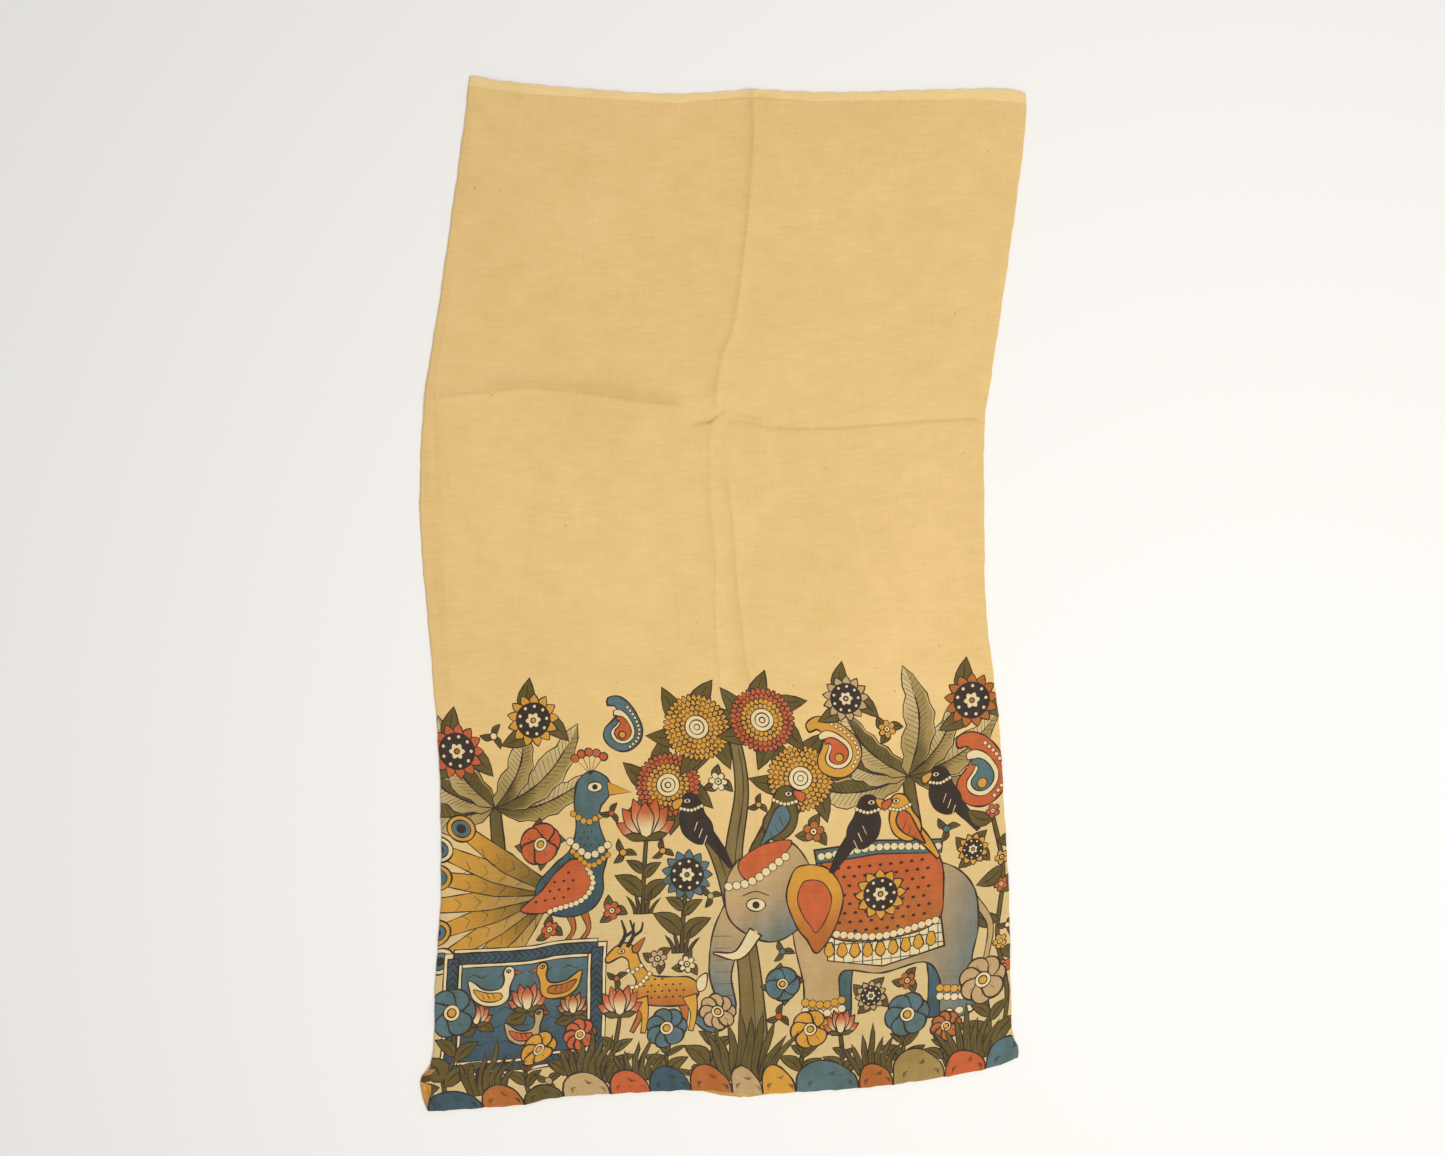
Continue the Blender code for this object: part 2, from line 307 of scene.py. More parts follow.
# The printed edge and the selvedge waver a little, and so does the reach of the rolls: each wave's
# size, turns and phase, how far from an edge its waver is felt, and the least height of the upper
# layer in thicknesses of the cloth
EDGE_WAVES = ((0.0004, 210.0, 0.7), (0.0003, 530.0, 0.0))
EDGE_WAVES_UP = 0.03
ROLL_WAVES = ((0.10, 97.0, 1.0), (0.08, 241.0, 0.0))
LEAST_LAYERS = 3.2

# Spacing of the mesh
GRID_STEP = 0.0105
INNER_STEP = 0.019
EDGE_STEP = 0.007
CREASE_STEP = 0.006
CREASE_OFFSETS = (0.0, 0.0013, 0.0028, 0.0055, 0.0100)
INNER_OFFSETS = (0.0, 0.0050)
EDGE_GAP = 0.0015
ARC_PIECES = 6
SEAM_SLACK = 0.00008
CUT_SLACK = 1e-6
SPILL_SHARE = 1.02
SPILL_AREA = 1e-7
SHARP_ANGLE = 50.0


def smooth(value):
    """Ease from 0 to 1 as value goes from 0 to 1."""
    value = np.clip(value, 0.0, 1.0)
    return value * value * (3.0 - 2.0 * value)


def waves(rows, run):
    """The sum of a few waves along a run."""
    return sum(size * np.sin(run * turns + phase) for size, turns, phase in rows)


def curve(points, closed=False, step=0.0036, most=12):
    """A smooth curve through the points, about one step between its own points."""
    points = np.asarray(points, float)
    count = len(points)
    line = []
    for i in range(count if closed else count - 1):
        start = points[i]
        end = points[(i + 1) % count]
        before = points[i - 1] if closed or i > 0 else 2.0 * start - end
        after = points[(i + 2) % count] if closed or i + 2 < count else 2.0 * end - start
        pieces = min(max(round(float(np.hypot(*(end - start))) / step), 1), most)
        for k in range(pieces):
            t = k / pieces
            line.append(0.5 * (
                2.0 * start
                + (end - before) * t
                + (2.0 * before - 5.0 * start + 4.0 * end - after) * t * t
                + (3.0 * start - before - 3.0 * end + after) * t * t * t
            ))
    if not closed:
        line.append(points[-1])
    return np.array(line)


def run_along(line):
    """How far each point of a line is from its start, measured along it."""
    return np.concatenate(([0.0], np.cumsum(np.hypot(*np.diff(line, axis=0).T))))


def ways_along(line):
    """The direction of a line at each of its points, and the same turned a quarter to the left."""
    ahead = np.gradient(line, axis=0)
    ahead /= np.maximum(np.hypot(*ahead.T), 1e-9)[:, None]
    return ahead, np.stack([-ahead[:, 1], ahead[:, 0]], axis=-1)


def edge_reader(points):
    """A function that reads a smooth edge at fractions of its length, as the solid's edges are."""
    line = curve(points, step=0.004, most=60)
    run = run_along(line)
    run /= run[-1]
    return lambda fraction: np.stack(
        [np.interp(np.clip(fraction, 0.0, 1.0), run, line[:, i]) for i in range(2)], axis=-1
    )


left_edge = edge_reader(LEFT_FOLD)
right_edge = edge_reader(RIGHT_FOLD)
top_edge = edge_reader(SELVEDGE)
foot_edge = edge_reader(PRINTED_EDGE)


def lie(across, down):
    """Where points of the panel lie on the surface, from their fractions across and down."""
    a = across[:, None]
    d = down[:, None]
    sides = left_edge(down) * (1.0 - a) + right_edge(down) * a
    ends = top_edge(across) * (1.0 - d) + foot_edge(across) * d
    corners = (1.0 - d) * (np.array(SELVEDGE[0]) * (1.0 - a) + np.array(SELVEDGE[-1]) * a)
    corners += d * (np.array(PRINTED_EDGE[0]) * (1.0 - a) + np.array(PRINTED_EDGE[-1]) * a)
    return sides + ends - corners


def crease_path(crease):
    """A crease's smooth path, in metres across and down the panel."""
    return curve(np.array(crease.spots) * (PANEL_WIDTH, CLOTH_LENGTH), step=CREASE_STEP, most=24)


def from_path(path, places):
    """How far places lie from a path, and how far along it from its nearer end."""
    best = np.full(len(places), 1e9)
    run = np.zeros(len(places))
    lengths = np.hypot(*np.diff(path, axis=0).T)
    whole = float(lengths.sum())
    gone = 0.0
    for start, end, length in zip(path, path[1:], lengths):
        step = (end - start) / max(length, 1e-9)
        t = np.clip((places - start) @ step, 0.0, length)
        off = np.hypot(*(places - start - t[:, None] * step).T)
        nearer = off < best
        best = np.where(nearer, off, best)
        run = np.where(nearer, gone + t, run)
        gone += length
    return best, np.minimum(run, whole - run)


def relief(across, down, strength):
    """How far creases and swells lift the upper layer, and the painted shade along its folds."""
    places = np.stack([across * PANEL_WIDTH, down * CLOTH_LENGTH], axis=-1)
    height = np.zeros(len(places))
    tint = np.zeros(len(places))
    for crease in CREASES:
        path = crease_path(crease)
        reach = CREASE_REACH * crease.spread
        near = np.all((places > path.min(0) - reach) & (places < path.max(0) + reach), axis=1)
        if not near.any():
            continue
        off, run = from_path(path, places[near])
        fade = smooth(run / CREASE_FADE + CREASE_END)
        if crease.crisp:
            shape = np.exp(-(np.hypot(off, CREST) - CREST) / crease.spread)
        else:
            shape = np.exp(-((off / crease.spread) ** 2))
        height[near] += crease.height * shape * fade
        # Painted shade along the crease, in place of the shade that falls in it
        wide = CRISP_SHADE if crease.crisp else crease.spread
        tint[near] += crease.tint * np.exp(-((off / wide) ** 2)) * fade
    # Painted shade in the strip along the left roll, darkest at its inner line
    width = np.maximum(np.interp(down, STRIP_DOWN, STRIP_WIDTH), 1e-4)
    share = np.clip(places[:, 0] / width, 0.0, 1.0)
    shade = np.where(places[:, 0] < width, STRIP_PAINTED_SHADE * share ** 1.5, 0.0)
    tint += shade * np.minimum(width / STRIP_FULL, 1.0)
    for swell in SWELLS:
        turn = places[:, 0] / swell.across + places[:, 1] / swell.down
        height += swell.height * np.sin(2.0 * math.pi * turn + swell.phase)
    return height * strength, np.clip(tint, 0.0, 1.0)


def fold_cloth(flat, sizes, inner=False):
    """Carry points of the flat cloth onto the folded section: places, and the painted shade of the folds.
    """
    across, up = flat[:, 0], flat[:, 1]
    down = 1.0 - up / CLOTH_LENGTH
    skin = sizes.thickness if inner else 0.0
    on_left = across < PANEL_WIDTH / 2.0
    inward = np.where(on_left, across, PANEL_WIDTH - across)
    share = INSET + (np.abs(inward) - HALF_ARC) / PER_ACROSS
    share = np.maximum(share, INSET)
    panel = np.where(on_left, share, 1.0 - share)
    under = inward < -HALF_ARC
    rolled = np.abs(inward) <= HALF_ARC
    lift, tint = relief(panel, down, sizes.fold_strength)
    height = np.maximum(sizes.loft + lift, LEAST_LAYERS * sizes.thickness)
    place = lie(panel, down)
    near_foot = np.clip(1.0 - up / EDGE_WAVES_UP, 0.0, 1.0)
    near_top = np.clip(1.0 - (CLOTH_LENGTH - up) / EDGE_WAVES_UP, 0.0, 1.0)
    place[:, 1] += waves(EDGE_WAVES, across) * (near_foot - near_top)
    beside = (panel - DROP_AT) / DROP_WIDTH
    drop = DROP_LENGTH * np.exp(-beside * beside)
    drop *= smooth((down - DROP_STARTS_AT) / (1.0 - DROP_STARTS_AT))
    place[:, 1] -= np.where(under, drop, 0.0)
    angle = np.clip(inward / HALF_ARC, -1.0, 1.0) * math.pi / 2.0
    half = height / 2.0
    reach = (ROLL_REACH - skin) * np.cos(angle)
    reach *= 1.0 + waves(ROLL_WAVES, up)
    place[:, 0] += np.where(rolled, np.where(on_left, -reach, reach), 0.0)
    turned = half + (half - skin) * np.sin(angle)
    z = np.where(under, skin, np.where(rolled, turned, height - skin))
    tint = np.where(under, 0.0, tint)
    return np.column_stack([place, z]), tint


# The print. Each mark holds its points on the flat cloth, its faces, and a dye that can fade into
# another between two places. A covering mark hides whatever was drawn under it.
Mark = namedtuple("Mark", "points faces dye other start end covers")
LINE = 1.0
FINE = 0.7
HAIR = 0.5
RING_PETAL = 0.0062

# The pen's hand: how its line swells and thins, how far a sharp corner may reach, how closely an oval
# is drawn, and the steps and areas that are too small to draw
SWELLS_OF_LINE = ((0.22, (260.0, 90.0)), (0.15, (-120.0, 330.0)))
MITRE_MOST = 1.7
OVAL_STEP = 0.0030
OVAL_POINTS = (8, 30)
LEAST_STEP = 2e-5
LEAST_AREA = 1e-10
LEAST_BEND = 1e-11


def turn_of(points):
    """Twice the area of an outline, positive where it runs anticlockwise."""
    after = np.roll(points, -1, axis=0)
    return float(np.sum(points[:, 0] * after[:, 1] - points[:, 1] * after[:, 0]))


def crosses_itself(points):
    """Whether an outline cuts through itself."""
    after = np.roll(points, -1, axis=0)
    origin, way = points[:, None], (after - points)[:, None]

    def side(place):
        """On which side of each of the outline's own lines the places lie."""
        off = place[None] - origin
        return way[..., 0] * off[..., 1] - way[..., 1] * off[..., 0]

    first = side(points) * side(after)
    return bool(np.any((first < 0.0) & (first.T < 0.0)))


def facing_up(points, triangles):
    """The triangles that have an area, all turned the same way round."""
    triangles = np.asarray(triangles, int).reshape(-1, 3)
    a, b, c = (points[triangles[:, i]] for i in range(3))
    area = (b - a)[:, 0] * (c - a)[:, 1] - (b - a)[:, 1] * (c - a)[:, 0]
    triangles = np.where((area < 0.0)[:, None], triangles[:, ::-1], triangles)
    return triangles[np.abs(area) > LEAST_AREA]


def inside(outline, places):
    """Which places lie inside a closed outline."""
    found = np.zeros(len(places), bool)
    x, y = places[:, 0], places[:, 1]
    for start, end in zip(outline, np.roll(outline, -1, axis=0)):
        if start[1] == end[1]:
            continue
        spans = (start[1] > y) != (end[1] > y)
        found ^= spans & (x < (end[0] - start[0]) * (y - start[1]) / (end[1] - start[1]) + start[0])
    return found


class Pen:
    """Draws in its own frame on the flat cloth: an origin, a turn, a size and a mirror."""

    def __init__(self, marks, line, origin=(0.0, 0.0), axes=((1.0, 0.0), (0.0, 1.0))):
        """Set the list that the marks go to, the line's width, and the frame on the flat cloth."""
        self.marks = marks
        self.line_width = line
        self.origin = np.array(origin, float)
        self.axes = np.array(axes, float)

    def at(self, x, y, turn=0.0, size=1.0, flip=False):
        """A pen whose origin is at (x, y) here, turned in degrees, scaled, and mirrored if asked."""
        angle = math.radians(turn)
        side = np.array([math.cos(angle), math.sin(angle)]) * size
        upward = np.array([-math.sin(angle), math.cos(angle)]) * size
        if flip:
            side = -side
        axes = np.array([side, upward]) @ self.axes
        return Pen(self.marks, self.line_width, self.to_cloth([(x, y)])[0], axes)

    def to_cloth(self, points):
        """Points of this frame as points of the flat cloth."""
        return self.origin + np.asarray(points, float) @ self.axes

    def scale(self):
        """How much larger this frame's unit is on the cloth."""
        return math.sqrt(abs(float(np.linalg.det(self.axes))))

    def lay(self, points, dye, other=None, start=None, end=None):
        """Lay dye inside an outline on the cloth, fading to another dye between two places here."""
        points = points[np.hypot(*(points - np.roll(points, 1, axis=0)).T) > LEAST_STEP]
        if len(points) < 3:
            return
        if turn_of(points) < 0.0:
            points = points[::-1]
        faces = [tuple(range(len(points)))]
        covers = not crosses_itself(points)
        if not covers:
            cut = tessellate_polygon([[Vector((x, y, 0.0)) for x, y in points]])
            faces = [tuple(face) for face in facing_up(points, cut).tolist()]
        if start is None:
            start, end = (0.0, 0.0), (1.0, 0.0)
        ends = self.to_cloth([start, end])
        self.marks.append(Mark(points, faces, dye, other or dye, ends[0], ends[1], covers))

    def fill(self, points, dye):
        """Lay dye inside a straight-sided outline, with no line round it."""
        self.lay(self.to_cloth(points), dye)

    def sides(self, points, weight, closed, taper=0.0):
        """The two sides of a line of uneven width along points that are already on the cloth."""
        before = np.roll(points, 1, axis=0)
        after = np.roll(points, -1, axis=0)
        if not closed:
            before[0] = points[0]
            after[-1] = points[-1]
        ahead = after - points
        behind = points - before
        ahead /= np.maximum(np.hypot(*ahead.T), 1e-9)[:, None]
        behind /= np.maximum(np.hypot(*behind.T), 1e-9)[:, None]
        along = ahead + behind
        size = np.hypot(*along.T)
        along /= np.maximum(size, 1e-9)[:, None]
        square = np.stack([-along[:, 1], along[:, 0]], axis=-1)
        mitre = np.minimum(2.0 / np.maximum(size, 0.9), MITRE_MOST)
        if not closed:
            mitre[[0, -1]] = 1.0
        swell = 1.0 + sum(share * np.sin(points @ turns) for share, turns in SWELLS_OF_LINE)
        half = 0.5 * self.line_width * weight * swell * mitre
        if taper > 0.0 and not closed:
            t = np.linspace(0.0, 1.0, len(points))
            half *= 1.0 - taper * np.abs(2.0 * t - 1.0) ** 3
        return points + square * half[:, None], points - square * half[:, None]

    def ink(self, left, right, closed, dye="ink"):
        """Fill a line between its two sides."""
        both = np.empty((2 * len(left), 2))
        both[0::2] = left
        both[1::2] = right
        count = len(left)
        faces = []
        for i in range(count if closed else count - 1):
            j = (i + 1) % count
            quad = (2 * i, 2 * i + 1, 2 * j + 1, 2 * j)
            corners = both[list(quad)]
            ways = np.roll(corners, -1, axis=0) - corners
            after_ways = np.roll(ways, -1, axis=0)
            bends = ways[:, 0] * after_ways[:, 1] - ways[:, 1] * after_ways[:, 0]
            if np.all(bends > LEAST_BEND):
                faces.append(quad)
            elif np.all(bends < -LEAST_BEND):
                faces.append(quad[::-1])
            else:
                pair = [(quad[0], quad[1], quad[2]), (quad[0], quad[2], quad[3])]
                faces.extend(tuple(face) for face in facing_up(both, pair).tolist())
        if faces:
            self.marks.append(Mark(both, faces, dye, dye, np.zeros(2), np.ones(2), False))

    def stroke(self, points, weight, dye="ink", closed=False, taper=0.0):
        """Draw a line of uneven width along points that are already on the cloth."""
        if len(points) > 1:
            self.ink(*self.sides(points, weight, closed, taper), closed, dye)

    def inked(self, points, dye, other=None, start=None, end=None, weight=LINE):
        """Lay dye inside an outline that is already on the cloth, and ink the outline."""
        left, right = self.sides(points, weight, closed=True)
        outer = left if abs(turn_of(left)) > abs(turn_of(right)) else right
        self.lay(points if crosses_itself(outer) else outer, dye, other, start, end)
        self.ink(left, right, closed=True)

    def line(self, points, weight=LINE, dye="ink", taper=0.4, sharp=False):
        """Draw a smooth line through points of this frame, or straight from one to the next."""
        points = self.to_cloth(points)
        self.stroke(points if sharp else curve(points), weight, dye, taper=taper)

    def shape(self, points, dye, other=None, start=None, end=None, weight=LINE, sharp=False):
        """Lay dye inside an outline, smooth unless told otherwise, and ink the outline."""
        points = self.to_cloth(points)
        self.inked(points if sharp else curve(points, closed=True), dye, other, start, end, weight)

    def band(self, path, widths, grow=0.0):
        """The middle line and the outline of a band along a smooth path, as points on the cloth."""
        middle = curve(self.to_cloth(path), step=0.006)
        run = np.linspace(0.0, len(path) - 1.0, len(middle))
        half = np.interp(run, range(len(path)), widths) * self.scale() / 2.0 + grow
        square = ways_along(middle)[1] * half[:, None]
        return middle, np.concatenate([middle + square, (middle - square)[::-1]])

    def ribbon(self, path, widths, dye, other=None, weight=LINE):
        """An inked band of dye along a smooth path, with its width given at each point."""
        middle, outline = self.band(path, widths)
        self.inked(outline, dye, other, path[0], path[-1], weight)
        return middle

    def disc(self, x, y, wide, high=None, dye="cream", weight=LINE, inked=True):
        """A filled oval, inked round unless told otherwise."""
        high = wide if high is None else high
        around = math.pi * (wide + high) * self.scale()
        count = int(np.clip(round(around / OVAL_STEP), *OVAL_POINTS))
        angles = np.arange(count) * 2.0 * math.pi / count
        points = self.to_cloth(np.stack([x + wide * np.cos(angles), y + high * np.sin(angles)], axis=-1))
        if inked:
            self.inked(points, dye, weight=weight)
        else:
            self.lay(points, dye)


def inner_places(outline, pitch):
    """Places on a lattice inside an outline, every other row moved over."""
    low, high = outline.min(0), outline.max(0)
    places = []
    for row, y in enumerate(np.arange(low[1] + pitch * 0.4, high[1], pitch * 0.87)):
        shift = pitch / 2.0 if row % 2 else 0.0
        places.extend((x + shift, y) for x in np.arange(low[0] + pitch * 0.3, high[0], pitch))
    places = np.array(places)
    return places[inside(outline, places)]


def spots_in(pen, outline, pitch, radius, margin):
    """Small ink spots on a staggered lattice inside an outline, clear of it by a share of its size."""
    middle = (outline.min(0) + outline.max(0)) / 2.0
    for x, y in inner_places(middle + (outline - middle) * (1.0 - margin), pitch):
        pen.disc(x, y, radius, radius * 0.8, "ink", inked=False)


def lines_in(pen, outline, pitch, turn, dye):
    """Straight lines across the inside of a straight-sided outline, at a turn in degrees."""
    middle = (outline.min(0) + outline.max(0)) / 2.0
    reach = float(np.hypot(*(outline.max(0) - outline.min(0)))) / 2.0
    c, s = math.cos(math.radians(turn)), math.sin(math.radians(turn))
    runs = np.arange(-reach, reach, 0.001 / pen.scale())
    for off in np.arange(-reach, reach, pitch):
        line = middle + np.outer(runs, (c, s)) + off * np.array((-s, c))
        held = inside(outline, line)
        edges = np.flatnonzero(np.diff(np.concatenate(([0], held.astype(int), [0]))))
        for first, last in zip(edges[0::2], edges[1::2]):
            if last - first > 3:
                pen.line([line[first], line[last - 1]], FINE, dye, taper=0.1, sharp=True)


def beads(pen, path, radius, dye="cream", gap=1.9):
    """A string of round beads along a smooth path, set on a dark line."""
    line = curve(pen.to_cloth(path), step=0.002)
    run = run_along(line)
    count = max(int(run[-1] / (radius * gap * pen.scale())), 1)
    places = np.linspace(0.0, run[-1], count + 1)
    flat = Pen(pen.marks, pen.line_width)
    for colour, grow in (("ink", 0.0007), (dye, -0.0001)):
        for x, y in zip(*(np.interp(places, run, line[:, i]) for i in range(2))):
            flat.disc(x, y, radius * pen.scale() + grow, dye=colour, inked=False)


def petal_outline(length, width, tip, base):
    """A petal from the origin along +x: widest past the middle, with a pointed or round tip."""
    half = width / 2.0
    side = [
        (0.0, base * half),
        (length * 0.25, half * 0.72),
        (length * 0.58, half),
        (length * 0.85, half * (0.9 - 0.45 * tip)),
        (length, half * 0.02 if tip > 0.3 else half * 0.3),
    ]
    return side + [(x, -y) for x, y in reversed(side)]


def leaf(pen, length, width, bend=0.12):
    """A pointed olive leaf along +x with its midrib."""
    t = np.linspace(0.0, 1.0, 7)
    middle = np.stack([t * length, bend * length * np.sin(math.pi * t)], axis=-1)
    half = np.stack([np.zeros(7), 0.5 * width * np.sin(math.pi * t ** 0.8) ** 0.85], axis=-1)
    outline = pen.to_cloth(np.concatenate([middle + half, (middle - half)[-2:0:-1]]))
    pen.inked(outline, "olive", weight=FINE)
    pen.line(middle[1:6:2], FINE, taper=0.5)


def flower(pen, radius, petals, dye):
    """An open flower: petals round a ringed heart."""
    step = 360.0 / petals
    reach = radius * 2.0 * math.sin(math.radians(step) / 2.0)
    for i in range(petals):
        one = pen.at(0.0, 0.0, i * step + 8.0)
        one.shape(petal_outline(radius, reach * 1.05, 0.2, 0.5), dye)
        one.line([(radius * 0.45, 0.0), (radius * 0.72, 0.0)], HAIR, sharp=True)
    heart = radius * 0.34
    pen.disc(0.0, 0.0, heart, dye="cream", weight=FINE)
    pen.disc(0.0, 0.0, heart * 0.55, dye="ochre", weight=FINE)


def blossom(pen, radius, dye, petals=5):
    """A small flower with one scalloped outline."""
    angles = np.arange(petals * 4) * 2.0 * math.pi / (petals * 4)
    reach = radius * np.tile((0.66, 0.94, 1.0, 0.94), petals)
    outline = pen.to_cloth(np.stack([reach * np.cos(angles), reach * np.sin(angles)], axis=-1))
    pen.inked(outline, dye, weight=FINE)
    for i in range(petals):
        one = pen.at(0.0, 0.0, 360.0 * i / petals)
        one.line([(radius * 0.3, 0.0), (radius * 0.66, 0.0)], HAIR, sharp=True)
    pen.disc(0.0, 0.0, radius * 0.34, dye="cream", weight=FINE)
    pen.disc(0.0, 0.0, radius * 0.12, dye="ink", inked=False)


def seed_flower(pen, radius, dye, petals=13):
    """A large flower with a broad dark heart that is set with pale seeds."""
    for i in range(petals):
        one = pen.at(0.0, 0.0, 360.0 * i / petals)
        outline = petal_outline(radius, 2.2 * math.pi * radius * 0.8 / petals, 0.6, 0.6)
        one.shape(outline, dye, weight=FINE)
    pen.disc(0.0, 0.0, radius * 0.68, dye="ink", inked=False)
    for i in range(9):
        angle = math.radians(40.0 * i)
        x, y = radius * 0.53 * math.cos(angle), radius * 0.53 * math.sin(angle)
        pen.disc(x, y, radius * 0.06, dye="cream", inked=False)
    for i in range(6):
        one = pen.at(0.0, 0.0, 60.0 * i)
        one.lay(one.to_cloth(petal_outline(radius * 0.3, radius * 0.2, 0.6, 0.3)), "cream")
    pen.disc(0.0, 0.0, radius * 0.1, dye=dye, weight=FINE)


def ringed_flower(pen, radius, rim):
    """A round flower of small petals in rings, one dye at the rim and ochre within."""
    for ring, share in enumerate((1.0, 0.84, 0.68, 0.52)):
        reach = share * radius
        petals = max(round(2.0 * math.pi * reach * pen.scale() / RING_PETAL), 8)
        angles = (np.arange(petals * 3) / 3.0 + 0.5 * ring) * 2.0 * math.pi / petals
        size = reach * np.tile((0.90, 1.0, 1.0), petals)
        outline = pen.to_cloth(np.stack([size * np.cos(angles), size * np.sin(angles)], axis=-1))
        pen.inked(outline, rim if ring < 2 else "ochre", weight=FINE)
        for i in range(petals):
            one = pen.at(0.0, 0.0, 360.0 * (i + 0.5 * ring) / petals)
            one.line([(reach - 0.17 * radius, 0.0), (reach * 0.91, 0.0)], HAIR, taper=0.0, sharp=True)
    for share in (0.36, 0.22, 0.09):
        pen.disc(0.0, 0.0, radius * share, dye="cream", weight=FINE)


def lotus(pen, size, dye):
    """A lotus seen from the side, its petals fanned from the stem."""
    pen.disc(0.0, size * 0.36, size * 0.2, size * 0.14, dye="ochre")
    for turn, long, wide in (
        (150, 0.78, 0.34), (30, 0.78, 0.34), (126, 0.9, 0.36), (54, 0.9, 0.36),
        (106, 0.98, 0.34), (74, 0.98, 0.34), (90, 0.86, 0.40),
    ):
        one = pen.at(0.0, 0.0, turn)
        outline = petal_outline(size * long, size * wide, 0.9, 0.35)
        one.shape(outline, "cream", dye, (size * 0.2, 0.0), (size * long * 0.8, 0.0), FINE)
    for turn in (168, 12):
        one = pen.at(0.0, 0.0, turn)
        one.shape(petal_outline(size * 0.5, size * 0.2, 0.9, 0.3), "olive", weight=FINE)


def blade(pen, root, lean, long, wide):
    """One pointed blade of grass that bends over as it rises."""
    t = np.linspace(0.0, 1.0, 6)
    x = root + lean * t ** 1.8
    half = 0.5 * wide * (1.0 - t) ** 0.6 * (1.0 + 0.8 * t)
    left = np.stack([x - half, long * t], axis=-1)
    right = np.stack([x + half, long * t], axis=-1)
    pen.inked(pen.to_cloth(np.concatenate([left, right[-2::-1]])), "olive", weight=FINE)
    pen.line([(root, long * 0.1), (x[3], long * t[3])], HAIR, sharp=True)


def grass(pen, height, blades):
    """A tuft of pointed blades from one root."""
    order = sorted(range(blades), key=lambda i: -abs(i - (blades - 1) / 2.0))
    for i in order:
        share = i / (blades - 1.0) - 0.5
        long = height * (1.0 - 0.8 * abs(share)) * (0.92 + 0.10 * math.cos(i * 2.3))
        blade(pen, share * height * 0.5, share * height * 0.62, long, height * 0.11)


def plant(pen, row):
    """A stem with broad leaves low down and one flower at its head, at its row's place."""
    pen = pen.at(row.across, row.up)
    height, lean, radius = row.height, row.lean, row.radius
    stem = [(0.0, 0.0), (lean * height * 0.15, height * 0.5), (lean * height, height)]
    pen.ribbon(stem, [0.0046, 0.004, 0.0036], "olive", weight=FINE)
    for turn, up, long in ((38, 0.14, 0.46), (142, 0.20, 0.50), (40, 0.46, 0.32), (140, 0.52, 0.30)):
        one = pen.at(lean * height * 0.1 * up, height * up, turn)
        leaf(one, height * long, height * long * 0.46, bend=0.1 if turn < 90 else -0.1)
    head = pen.at(lean * height, height, 10.0 * lean)
    if row.kind == "lotus":
        lotus(head, radius * 1.5, row.dye)
    elif row.kind == "seed":
        seed_flower(head, radius, row.dye)
    else:
        flower(head, radius, row.petals, row.dye)


def paisley(pen, dye, inner):
    """A curled mango motif with smaller ones inside it, one unit high."""
    outline = np.array([
        (0.02, -0.02), (0.22, 0.06), (0.36, 0.26), (0.36, 0.50), (0.22, 0.74), (0.02, 0.94),
        (-0.20, 1.02), (-0.38, 0.94), (-0.36, 0.80), (-0.24, 0.82), (-0.16, 0.72), (-0.22, 0.54),
        (-0.34, 0.36), (-0.34, 0.18), (-0.20, 0.03),
    ])
    centre = np.array((0.0, 0.36))
    pen.shape(outline, dye)
    beads(pen, centre + (outline[1:6] - centre) * 0.84, 0.026, gap=3.0)
    for share, colour in ((0.62, "cream"), (0.44, inner)):
        pen.shape(centre + (outline - centre) * share, colour, weight=FINE)
    pen.disc(0.0, 0.30, 0.07, dye="ochre", weight=FINE)


def eye(pen, x, y, size):
    """A wide open eye."""
    pen.disc(x, y, size, size * 0.68, dye="cream", weight=FINE)
    pen.disc(x, y, size * 0.40, dye="ink", inked=False)


def perched(pen, dye, wing, bill):
    """A perched bird facing +x, one unit high: a parrot, or a myna where it is all ink."""
    pen.ribbon([(-0.16, 0.16), (-0.42, -0.18), (-0.62, -0.50)], [0.26, 0.2, 0.08], dye)
    pen.shape([
        (0.06, -0.06), (0.28, 0.12), (0.36, 0.40), (0.33, 0.62), (0.36, 0.76), (0.22, 0.93),
        (0.02, 0.90), (-0.08, 0.74), (-0.14, 0.54), (-0.28, 0.32), (-0.28, 0.08), (-0.12, -0.06),
    ], dye)
    pen.shape([(0.29, 0.85), (0.50, 0.78), (0.46, 0.62), (0.33, 0.70)], bill, weight=FINE)
    pen.shape([
        (0.12, 0.58), (0.22, 0.36), (0.08, 0.12), (-0.20, -0.06), (-0.36, -0.16), (-0.22, 0.16),
        (-0.06, 0.5),
    ], wing)
    for share in (0.3, 0.6, 0.9):
        x, y = 0.1 - 0.3 * share, 0.5 - 0.45 * share
        pen.line([(x, y), (x + 0.07, y - 0.18)], FINE, "cream" if wing == "ink" else "ink", sharp=True)
    beads(pen, [(-0.08, 0.68), (0.12, 0.60), (0.33, 0.64)], 0.034)
    eye(pen, 0.2, 0.79, 0.075)


def draw_birds(pen, rows):
    """Each row's bird at its place, size and side."""
    for row in rows:
        perched(pen.at(row.across, row.up, size=row.size, flip=row.flip), row.dye, row.wing, row.bill)


